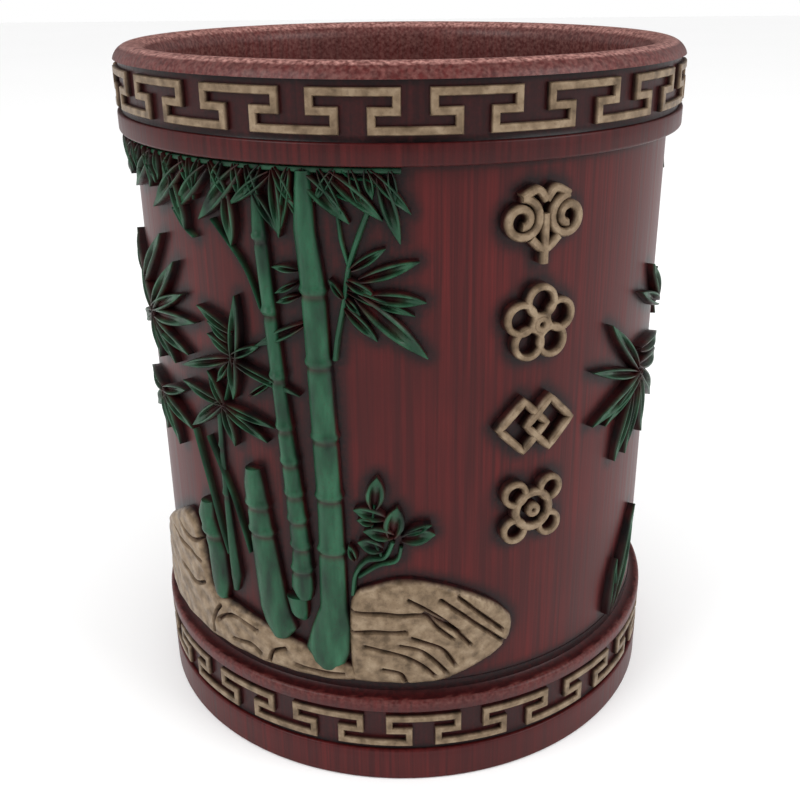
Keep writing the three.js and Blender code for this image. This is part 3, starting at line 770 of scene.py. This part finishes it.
# Leaves: foot (s, z), tip (s, z), width
LEAVES = {
    "canopy_front": [
        [-19.5, 108, -27.3, 102.7, 1.9], [-24.5, 108.6, -34, 99.7, 2.8], [-31, 108, -40.2, 100.2, 2.6],
        [-22.6, 105.4, -18.7, 99.2, 1.5], [-16.4, 108.4, -18.5, 99.4, 1.4],
        [-19, 108.5, -18.6, 98.6, 1.9], [-15, 108.5, -7.6, 101.2, 2.5], [-10.5, 108.5, -2.7, 101.7, 2.2],
        [-4.5, 108.8, 1.4, 102.6, 1.7], [-3.2, 108, -0.2, 98.3, 2.4], [-36, 108, -47.2, 99.6, 2.6],
        [-27.6, 104.5, -27.4, 96.5, 2.3], [-16.8, 104.5, -13.2, 100.2, 1.5],
        [-46, 108.4, -56, 101.5, 2.6], [-56, 108.4, -66, 102, 2.6], [-40, 106, -37.6, 97.5, 2.2],
        [-1.6, 108.8, -0.8, 104.4, 1.4],
    ],
    "twig_spray": [
        [-7.6, 94.4, -2.4, 97.6, 1.6], [-6.4, 92.8, 2.6, 95.6, 2.1], [-8.2, 92.8, -4.2, 90.4, 1.7],
        [-4.6, 90.4, 3.6, 89.4, 2.2], [-8.2, 91.2, 1.9, 87.3, 1.6], [-6.8, 90.4, 3.8, 80.6, 3],
        [-8.6, 88.6, -3.8, 83.4, 1.7], [-8.8, 90, -11, 92.8, 1], [-8.4, 90, -6.3, 87.4, 1.1],
        [-15.7, 93.9, -20.2, 94, 1.2], [-15.9, 92, -19.8, 90, 1.1], [-15.9, 89.9, -19.7, 88.5, 1.2],
        [-15.2, 85.5, -24.2, 80.8, 1.9],
    ],
    "star_upper": [
        [-28.6, 76.5, -27.6, 88.5, 2.1], [-28.4, 82.2, -36.6, 85.3, 1.5], [-28.8, 80.6, -34, 83.2, 1.2],
        [-28.6, 78.5, -34.4, 81, 1.3], [-29, 77.8, -42.8, 73.4, 1.8], [-28.6, 78.6, -29.4, 70.8, 2],
        [-29.2, 77.6, -16.6, 73.5, 1.4], [-29, 78.3, -23.4, 80.9, 1.6], [-29.5, 77.2, -32.9, 73, 1.3],
        [-26, 72, -21, 75.6, 1.1],
    ],
    "star_lower": [
        [-31, 69.3, -42.8, 70.6, 1.6], [-31.4, 70, -41, 62.8, 2.3], [-31.6, 69.2, -29.8, 62.2, 1.9],
        [-32, 69.2, -23, 64.4, 1.7], [-32, 69.4, -21.6, 67.2, 1.4], [-31.4, 69, -35.2, 74.4, 1.5],
    ],
    "spray_left_upper": [
        [-54, 80, -42.4, 91.3, 2.6], [-58, 84, -46.4, 95.2, 2.6], [-54, 80.4, -40.6, 86.2, 2.2],
        [-54, 79.8, -37.6, 82, 2.6], [-54, 79, -40.4, 75.8, 2.2], [-52, 80, -62, 88, 2.6],
        [-53, 80, -64, 76, 2.6], [-53, 80, -52, 72, 2.4], [-53, 79, -45, 73, 2],
        [-58, 86, -66, 92, 2.6],
    ],
    "spray_left_lower": [
        [-52, 66, -41.2, 62, 2], [-52, 66, -46.8, 57, 2.4], [-52, 66, -42.4, 68.8, 2],
        [-52, 66, -52.6, 58, 2.2], [-51, 66, -60, 60, 2.4], [-51, 66, -62, 67, 2.4],
    ],
    "shrub_sprig": [
        [-5, 54.9, -4.4, 60.4, 3.2], [-3.2, 53.2, -8.4, 54.4, 2.4], [-5, 52.4, -7.8, 52.6, 1.5],
        [-2.2, 49.6, -1.2, 55, 3.6], [-0.6, 49.4, 5, 49.9, 3.1], [-1.8, 50, -6.8, 50.6, 2.6],
        [-3.6, 47.4, -7.8, 48.4, 2.8], [0, 50.4, 4.4, 51.8, 1.4], [-8.2, 45, -9.4, 47.6, 1.4],
    ],
    "spray_right": [
        [49, 70, 38.4, 80.6, 2.3], [49, 69, 34.2, 73.4, 2.1], [51, 69, 34.6, 63.6, 2.5],
        [50, 69, 38.2, 62.6, 1.9], [47.5, 66, 42.4, 54.4, 2.6], [50, 67, 46, 54.6, 2.3],
        [49, 70.4, 66, 68, 3], [49, 73.4, 64, 72, 2.6], [49, 70, 62, 60, 2.6], [50, 69, 55, 55.4, 2.6],
    ],
    "leaf_right": [[61, 78.6, 48.4, 83.8, 2.3], [61, 79.4, 54, 87.4, 2.5]],
    "shoot_right": [[45, 21.5, 55, 40, 3.2], [44.6, 21, 47, 32, 2]],
    "canopy_back": [
        [84, 108, 76, 100, 2.6], [88, 108, 84, 98, 2.4], [99, 108.4, 99.6, 97, 2.2],
        [108, 108, 113, 98.6, 2.4], [113, 108, 121, 101, 2.6], [119, 108, 129, 103, 2.4],
    ],
}

# Twigs: width, then given points
STEMS = {
    "canopy_front": [
        [1.2, [(-74, 108.7), (-50, 108.5), (-24, 108.7), (0, 108.8)]],
        [0.6, [(-9.5, 104), (-9.1, 99), (-8, 95)]],
        [0.55, [(-8.6, 108.8), (-7, 107.6), (-4.6, 107.4), (-2.6, 105.6)]],
        [0.5, [(-12, 108.8), (-11.4, 106.8), (-9, 105), (-5.2, 103.8)]],
        [0.4, [(-31.5, 100), (-28, 96.5), (-25, 92.6), (-22.8, 87)]],
        [0.45, [(-41, 100.4), (-38.4, 97.8), (-36, 96.5)]],
    ],
    "twig_spray": [[1.0, [(-4.8, 103.2), (-6.5, 99), (-8, 94.5), (-8.8, 89.5), (-10, 84), (-10.6, 80)]]],
    "star_upper": [[0.6, [(-24.2, 80.8), (-27, 78.6), (-30, 77.6)]]],
    "star_lower": [[0.5, [(-29, 78), (-30.5, 73), (-32, 69)]]],
    "culm_thin_left": [
        [0.6, [(-41, 62), (-38, 53), (-35.4, 44), (-34, 40)]],
        [0.5, [(-37, 62), (-32.4, 53.5), (-30.4, 48), (-28.6, 42)]],
    ],
    "shrub_sprig": [
        [0.9, [(-9, 38), (-8.4, 42), (-6.4, 44.8), (-3.4, 45.6), (-2, 48.5)]],
        [0.7, [(-7.8, 41.6), (-4.4, 44), (-1.4, 45), (-0.6, 47.6)]],
        [0.6, [(-4, 46), (-5.4, 50), (-4.9, 55.5)]],
    ],
    "canopy_back": [[1.2, [(76, 108.7), (100, 108.5), (124, 108.7)]]],
}

# Sprays at the back: the hub (s, z) and the length of their blades
BACK_SPRAYS = {
    "spray_back_a": (82, 76, 11),
    "spray_back_b": (121, 66, 12),
    "spray_back_c": (-132, 78, 12),
    "spray_back_d": (-96, 64, 12),
}
STAR_ANGLES = (20, 75, 140, 200, 255, 310)
STAR_FLATTEN = 0.8
STAR_WIDTH = 2.3

# The dark mass of small leaves close under the rim
FILL_FROM, FILL_TO, FILL_STEP = -74, -1, 2.3
FILL_TOP = 108.9
FILL_TIP = 104.8
FILL_TIP_DROP = 0.55
FILL_LEAN = 3.4
FILL_TURN = 2.4
FILL_WIDTH = 1.5


def star(s, z, length):
    """Six blades round a hub."""
    blades = []
    for degrees in STAR_ANGLES:
        angle = math.radians(degrees)
        tip_z = z + STAR_FLATTEN * length * math.sin(angle)
        blades.append([s, z, s + length * math.cos(angle), tip_z, STAR_WIDTH])
    return blades


def fill_leaves():
    """Short blades side by side, each leaning its own way and of its own length."""
    blades = []
    for k in range(int((FILL_TO - FILL_FROM) / FILL_STEP)):
        s = FILL_FROM + k * FILL_STEP
        tip_s = s + FILL_LEAN * math.sin(k * FILL_TURN)
        blades.append([s, FILL_TOP, tip_s, FILL_TIP - (k * 7 % 5) * FILL_TIP_DROP, FILL_WIDTH])
    return blades


for spray, place in BACK_SPRAYS.items():
    LEAVES[spray] = star(*place)
LEAVES["canopy_front"] += fill_leaves()


def bamboo_pieces():
    pieces = []
    for node in dict.fromkeys([*CULMS, *LEAVES]):
        relief = Relief()
        if node in CULMS:
            relief.culm(*CULMS[node])
        for width, points in STEMS.get(node, []):
            relief.stem(width, points)
        for leaf in LEAVES.get(node, []):
            relief.leaf(*leaf)
        pieces.append(relief.made(node, "bamboo_green"))
    return pieces


# Rock and ground: an outline filled with a fine net, raised, worn round and cracked
ROCK_HEIGHT = 1.75
ROCK_RIM_SHARE = 0.35
ROCK_SHOULDER = 0.9
ROCK_SWELL = 0.16
ROCK_OUTLINE_SPLITS = 5
ROCK_BARE_EDGE = 0.35
NET_STEP = 0.55
NET_TOLERANCE = 1e-5
CRACK_HALF = 0.5
CRACK_DEPTH = 0.85
CRACK_NET_SPLITS = 24
CRACK_SPLITS = 6
LIP_HEIGHT = 0.1
LIP_PLACE = 1.1
LIP_HALF = 0.9
ROCKS = {
    "rock_right": (
        [(-9.6, 20.4), (-9.8, 30), (-9, 38), (-5, 40.3), (0, 41.4), (6.5, 40), (13, 37), (17.5, 33.5),
         (19.2, 30), (16.5, 25.2), (9, 21.5), (3, 20.3)],
        [[(-9, 35), (-2, 34.8), (3, 34.6), (5.5, 32), (8, 29.5)], [(1, 30), (6, 27.6), (8.5, 24)],
         [(-7, 28), (-2, 27), (2.5, 24.6), (5, 22)], [(6, 37.4), (12, 32), (17.5, 27)],
         [(-4, 23.6), (-1, 22.6), (0, 20.8)], [(3.2, 35), (5.5, 33.4), (9, 30.8)],
         [(-1, 28.4), (3, 27.2), (7, 22.6)], [(9, 37.6), (13.6, 33), (17, 29.6)],
         [(-9, 31), (-5, 31.2), (0, 31.4)], [(0.6, 37.6), (6, 33.8), (11.2, 27.8)]]),
    "ground_left": (
        [(-62, 20.2), (-36, 20.0), (-9.8, 20.3), (-9.6, 23.5), (-19, 26.4), (-27, 28.4), (-33, 29.8),
         (-39.4, 31), (-41, 38), (-43, 42.6), (-46, 44.5), (-52, 41.5), (-60, 36), (-63, 28)],
        [[(-38, 24.6), (-35.6, 26.6), (-32, 27.6), (-28, 26.4)], [(-54, 37), (-48, 36), (-42, 35.4)],
         [(-50, 31), (-45, 29.5), (-41.5, 31)], [(-25.4, 21), (-24.4, 23.4), (-22, 24.6)],
         [(-39.6, 21.4), (-39, 25), (-37, 28)], [(-20, 22), (-14, 21.6), (-11, 21.9)],
         [(-49, 40), (-45, 38.6), (-41.6, 40)], [(-34, 22.4), (-30, 23), (-27.4, 22)]]),
    "rock_back": (
        [(110, 20.5), (152, 20.5), (150, 27), (143, 36), (136, 39), (128, 37), (120, 31), (113, 27)],
        [[(122, 30), (130, 31), (137, 27)], [(132, 36), (139, 33), (146, 26)],
         [(118, 25), (126, 25), (131, 22)]]),
}


def line_distance(points, line):
    """Distance of each point from a line through points."""
    best = np.full(len(points), np.inf)
    for a, b in zip(line, line[1:]):
        a, b = np.array(a, float), np.array(b, float)
        along = b - a
        share = np.clip(((points - a) @ along) / (along @ along), 0, 1)
        best = np.minimum(best, np.linalg.norm(points - (a + share[:, None] * along), axis=1))
    return best


def rock_net(ring, cracks):
    """Triangles that fill the outline, finer along each crack so that it runs unbroken."""
    corners = [Vector(p) for p in ring]
    spots = list(corners)
    low = np.min(np.array(corners), axis=0)
    high = np.max(np.array(corners), axis=0)
    for i in range(int((high[0] - low[0]) / NET_STEP)):
        for j in range(int((high[1] - low[1]) / NET_STEP)):
            spots.append(Vector((low[0] + (i + 0.5 * (j % 2)) * NET_STEP, low[1] + j * NET_STEP)))
    for crack in cracks:
        line = smooth_line(crack, CRACK_NET_SPLITS)
        for a, b in zip(line, line[1:]):
            side = Vector((a[1] - b[1], b[0] - a[0])).normalized()
            for shift in (-1, -0.5, 0, 0.5, 1):
                spots.append(Vector(a) + side * shift * CRACK_HALF)
    edges = [(i, (i + 1) % len(ring)) for i in range(len(ring))]
    filled = geometry.delaunay_2d_cdt(spots, edges, [tuple(range(len(ring)))], 1, NET_TOLERANCE)
    flat, triangles = filled[0], filled[2]
    used = sorted({i for face in triangles for i in face})
    place = {old: new for new, old in enumerate(used)}
    flat = np.array([tuple(v) for v in flat])[used]
    return flat, [tuple(place[i] for i in face) for face in triangles]


def rock_surface(flat, ring, cracks):
    """Height and paint at each point of the net."""
    inward = line_distance(flat, [*ring, ring[0]])
    shoulder = np.clip(inward / ROCK_SHOULDER, 0, 1)
    height = ROCK_HEIGHT * (ROCK_RIM_SHARE + (1 - ROCK_RIM_SHARE) * np.sqrt(shoulder))
    swell = ROCK_SWELL * np.sin(flat[:, 0] * 0.9 + flat[:, 1] * 0.5) * np.cos(flat[:, 1] * 0.8)
    paint = np.clip(inward / ROCK_BARE_EDGE, 0, 1)
    for crack in cracks:
        gap = line_distance(flat, smooth_line(crack, CRACK_SPLITS))
        groove = np.clip(1 - gap / CRACK_HALF, 0, 1)
        lip = np.clip(1 - np.abs(gap - LIP_PLACE) / LIP_HALF, 0, 1)
        height = height - CRACK_DEPTH * groove + LIP_HEIGHT * lip
        paint = paint * (1 - 0.95 * groove)
    return height + swell * shoulder, paint


def rock_piece(node, outline, cracks):
    ring = smooth_line([*outline, outline[0]], ROCK_OUTLINE_SPLITS)[:-1]
    flat, triangles = rock_net(ring, cracks)
    height, paint = rock_surface(flat, ring, cracks)
    count = len(flat)
    points = [bent(s, z, float(t)) for (s, z), t in zip(flat, height)]
    points += [bent(s, z, RELIEF_BACK) for s, z in flat]
    faces = list(triangles)
    faces += [tuple(count + i for i in reversed(face)) for face in triangles]
    sides = {pair: True for a, b, c in triangles for pair in ((a, b), (b, c), (c, a))}
    faces += [(b, a, count + a, count + b) for a, b in sides if (b, a) not in sides]
    piece = make_piece(node + "_relief", points, faces, bronze_paint,
                       {"paint": [*paint, *[0.0] * count]})
    fit_to_frame(piece, node)
    return piece


# Ornaments in a column: a cloud head, a blossom, two lozenges and a knot
ORNAMENT_S = 22
ORNAMENT_LINE = 1.45
THIN_LINE = 1.15
HUB_LINE = 1.2
HUB_STEPS = 20
LOOP_STEPS = 36
SIDE_STEPS = 6
CURL_POINTS = 40
CURVE_SPLITS = 8
CLOUD_CURL = (4.0, 100.8, 3.3)
BLOSSOM_Z = 84.4
BLOSSOM_PETALS = 5
BLOSSOM_REACH = 3.6
PETAL_RADIUS = 2.3
LOZENGE_Z = 67.5
LOZENGE_HALF = 4.3
LOZENGE_SHIFT = 2.4
KNOT_Z = 52
KNOT_RADIUS = 3.2
KNOT_LOOPS = 4
KNOT_REACH = 4.7
KNOT_LOOP_RADIUS = 1.9


def loop(s, z, radius, steps=LOOP_STEPS):
    return [(s + radius * math.cos(2 * math.pi * k / steps),
             z + radius * math.sin(2 * math.pi * k / steps)) for k in range(steps)]


def curl(s, z, radius, mirror):
    """A curl that runs in on itself by one turn and a half."""
    points = []
    for k in range(CURL_POINTS):
        share = k / (CURL_POINTS - 1)
        angle = math.pi * (0.5 + 3 * share)
        reach = radius * (1 - 0.72 * share)
        points.append((s + mirror * reach * math.cos(angle), z + reach * math.sin(angle)))
    return points


def cloud_ornament():
    relief = Relief()
    shift, z, radius = CLOUD_CURL
    for mirror in (-1, 1):
        relief.bead(curl(ORNAMENT_S + mirror * shift, z, radius, mirror), ORNAMENT_LINE, closed=False)
        brow = [(ORNAMENT_S + mirror * shift, z + radius), (ORNAMENT_S + mirror * 1.6, 105.2),
                (ORNAMENT_S, 103.6)]
        relief.bead(smooth_line(brow, CURVE_SPLITS), ORNAMENT_LINE, closed=False)
    chin = [(ORNAMENT_S - 2.4, 98), (ORNAMENT_S, 96.2), (ORNAMENT_S + 2.4, 98)]
    stalk = [(ORNAMENT_S, 101.6), (ORNAMENT_S, 97), (ORNAMENT_S, 94)]
    for line in (chin, stalk):
        relief.bead(smooth_line(line, CURVE_SPLITS), ORNAMENT_LINE, closed=False)
    return relief.made("ornament_cloud", "aged_bronze")


def blossom_ornament():
    relief = Relief()
    for k in range(BLOSSOM_PETALS):
        angle = math.pi / 2 + k * 2 * math.pi / BLOSSOM_PETALS
        s = ORNAMENT_S + BLOSSOM_REACH * math.cos(angle)
        relief.bead(loop(s, BLOSSOM_Z + BLOSSOM_REACH * math.sin(angle), PETAL_RADIUS), THIN_LINE)
    relief.bead(loop(ORNAMENT_S, BLOSSOM_Z, 0.9, HUB_STEPS), HUB_LINE, 2.1)
    return relief.made("ornament_blossom", "aged_bronze")


def lozenge_ornament():
    """Two linked lozenges; the right one stands a little higher, so that it passes over."""
    relief = Relief()
    for shift, height in ((-LOZENGE_SHIFT, 1.9), (LOZENGE_SHIFT, 2.0)):
        s = ORNAMENT_S + shift
        corners = [(s - LOZENGE_HALF, LOZENGE_Z), (s, LOZENGE_Z - LOZENGE_HALF),
                   (s + LOZENGE_HALF, LOZENGE_Z), (s, LOZENGE_Z + LOZENGE_HALF)]
        line = []
        for a, b in zip(corners, corners[1:] + corners[:1]):
            line += [(a[0] + (b[0] - a[0]) * k / SIDE_STEPS, a[1] + (b[1] - a[1]) * k / SIDE_STEPS)
                     for k in range(SIDE_STEPS)]
        relief.bead(line, ORNAMENT_LINE, height)
    return relief.made("ornament_lozenges", "aged_bronze")


def knot_ornament():
    relief = Relief()
    relief.bead(loop(ORNAMENT_S, KNOT_Z, KNOT_RADIUS), ORNAMENT_LINE)
    relief.bead(loop(ORNAMENT_S, KNOT_Z, 0.8, HUB_STEPS), HUB_LINE)
    for k in range(KNOT_LOOPS):
        angle = math.pi / 4 + k * 2 * math.pi / KNOT_LOOPS
        s = ORNAMENT_S + KNOT_REACH * math.cos(angle)
        relief.bead(loop(s, KNOT_Z + KNOT_REACH * math.sin(angle), KNOT_LOOP_RADIUS), THIN_LINE, 1.85)
    return relief.made("ornament_knot", "aged_bronze")


# The wall, with a black wash and painted shade that gather close round the relief and at both rings
WALL_LEVELS = 150
BORE_LEVELS = 16
WALL_TURN_STEPS = 420
BORE_WORN = 0.18
RELIEF_WASH_AND_SHADE = (0.97, 0.35, 2.6)
FOOT_WALL_WASH_AND_SHADE = (0.9, 0.2, 1.6)
RIM_WALL_WASH_AND_SHADE = (0.8, 0.2, 1.4)
OUTSIDE = WALL_RADIUS - 0.5


def fading_wash_and_shade(wash_and_painted_shade, gap):
    """How dark the wash and painted shade is at a gap from what it gathers at."""
    strength, full_up_to, gone_at = wash_and_painted_shade
    return strength * (1 - smooth_step(full_up_to, gone_at, gap))


def wall_piece(relief):
    relief_points = [vertex.co for piece in relief for vertex in piece.data.vertices]
    tree = kdtree.KDTree(len(relief_points))
    for i, point in enumerate(relief_points):
        tree.insert(point, i)
    tree.balance()
    rise = WALL_TOP - LEDGE_TOP
    outside = [(WALL_RADIUS, LEDGE_TOP + rise * k / WALL_LEVELS) for k in range(WALL_LEVELS + 1)]
    bore = [(BORE_RADIUS, WALL_TOP - rise * k / BORE_LEVELS) for k in range(BORE_LEVELS + 1)]
    profile = coated(outside) + coated(bore, 0, BORE_WORN)
    piece = turned("wall_lacquer", profile, steps=WALL_TURN_STEPS)
    values = []
    for vertex in piece.data.vertices:
        wash_and_painted_shade = 0.0
        if math.hypot(vertex.co.x, vertex.co.y) > OUTSIDE * MM:
            level = vertex.co.z / MM
            wash_and_painted_shade = max(fading_wash_and_shade(RELIEF_WASH_AND_SHADE, tree.find(vertex.co)[2] / MM),
                       fading_wash_and_shade(FOOT_WALL_WASH_AND_SHADE, level - FOOT_TOP),
                       fading_wash_and_shade(RIM_WALL_WASH_AND_SHADE, RIM_BOTTOM - level))
        values.append(wash_and_painted_shade)
    piece.data.attributes["wash_and_painted_shade"].data.foreach_set("value", values)
    return piece


# Camera: fitted to the outline of the pot in the photograph, whose frame is 800 pixels square
FRAME_PIXELS = 800
CAMERA_DISTANCE = 0.19139
CAMERA_HEIGHT = 0.13595
PITCH, YAW, ROLL = 0.3977, 0.0045, 0.0087
FOCAL_PIXELS = 1016.99
CENTER_PIXEL = (407.53, 387.16)
SENSOR_MM = 36


def camera():
    forward = Vector((math.sin(YAW) * math.cos(PITCH), math.cos(YAW) * math.cos(PITCH),
                      -math.sin(PITCH)))
    right = Vector((math.cos(YAW), -math.sin(YAW), 0))
    up = right.cross(forward)
    turned_right = math.cos(ROLL) * right - math.sin(ROLL) * up
    turned_up = math.sin(ROLL) * right + math.cos(ROLL) * up
    data = bpy.data.cameras.new("camera")
    data.sensor_width = SENSOR_MM
    data.lens = FOCAL_PIXELS * SENSOR_MM / FRAME_PIXELS
    data.shift_x = (FRAME_PIXELS / 2 - CENTER_PIXEL[0]) / FRAME_PIXELS
    data.shift_y = (CENTER_PIXEL[1] - FRAME_PIXELS / 2) / FRAME_PIXELS
    data.clip_start = 0.01
    item = bpy.data.objects.new("camera", data)
    rows = Matrix((turned_right, turned_up, -forward)).transposed()
    item.matrix_world = Matrix.Translation((0, -CAMERA_DISTANCE, CAMERA_HEIGHT)) @ rows.to_4x4()
    bpy.context.scene.collection.objects.link(item)
    bpy.context.scene.camera = item


# Studio, in metres and watts
LAMPS = {"lamp_left": (-0.5, -0.35, 0.55), "lamp_right": (0.55, -0.3, 0.45)}
LAMP_SIZE = 0.4
LAMP_POWER = 2.2
LAMP_AIM = Vector((0, 0, 0.07))
FLOOR_HALF = 2.5
FLOOR_CLOUD_SCALE = 3


def surroundings():
    """White all round; what the lacquer mirrors is darker in front and behind than at the sides."""
    world = bpy.data.worlds.new("studio")
    world.use_nodes = True
    bpy.context.scene.world = world
    tree = world.node_tree
    place = tree.nodes.new("ShaderNodeTexCoord")
    split = tree.nodes.new("ShaderNodeSeparateXYZ")
    link(tree, place, "Generated", split, 0)
    side = tree.nodes.new("ShaderNodeMath")
    side.operation = "ABSOLUTE"
    link(tree, split, "X", side, 0)
    mirrored_light = ramp(tree, side, [(0.2, grey(0.06)), (0.85, grey(0.8))])
    path = tree.nodes.new("ShaderNodeLightPath")
    seen = blend(tree, path, "Is Glossy Ray", grey(1.0), mirrored_light)
    background = tree.nodes["Background"]
    link(tree, seen, MIX_RESULT, background, "Color")
    background.inputs["Strength"].default_value = 1.0


def lamps():
    for name, spot in LAMPS.items():
        lamp = bpy.data.lights.new(name, "AREA")
        lamp.size = LAMP_SIZE
        lamp.energy = LAMP_POWER
        item = bpy.data.objects.new(name, lamp)
        item.location = spot
        item.rotation_euler = (LAMP_AIM - Vector(spot)).to_track_quat("-Z", "Y").to_euler()
        bpy.context.scene.collection.objects.link(item)


def pale_floor():
    material, tree, shader = new_material("pale_floor")
    tone = ramp(tree, noise(tree, FLOOR_CLOUD_SCALE, 2), [(0.3, grey(0.97)), (0.7, grey(0.985))])
    link(tree, tone, "Color", shader, "Base Color")
    shader.inputs["Roughness"].default_value = 0.9
    mesh = bpy.data.meshes.new("floor")
    corners = [(-FLOOR_HALF, -FLOOR_HALF, 0), (FLOOR_HALF, -FLOOR_HALF, 0),
               (FLOOR_HALF, FLOOR_HALF, 0), (-FLOOR_HALF, FLOOR_HALF, 0)]
    mesh.from_pydata(corners, [], [(0, 1, 2, 3)])
    mesh.materials.append(material)
    floor = bpy.data.objects.new("floor", mesh)
    bpy.context.scene.collection.objects.link(floor)


camera()
surroundings()
lamps()
pale_floor()
bpy.context.scene.view_settings.view_transform = "Standard"
fret_pieces()
wall_relief = bamboo_pieces()
wall_relief += [rock_piece(node, *shape) for node, shape in ROCKS.items()]
wall_relief += [cloud_ornament(), blossom_ornament(), lozenge_ornament(), knot_ornament()]
fit_to_frame(wall_piece(wall_relief), "wall_tube")
fit_to_frame(rim_piece(), "rim_ring")
fit_to_frame(foot_piece(), "foot_ring")
fit_to_frame(floor_piece(), "floor_disc")
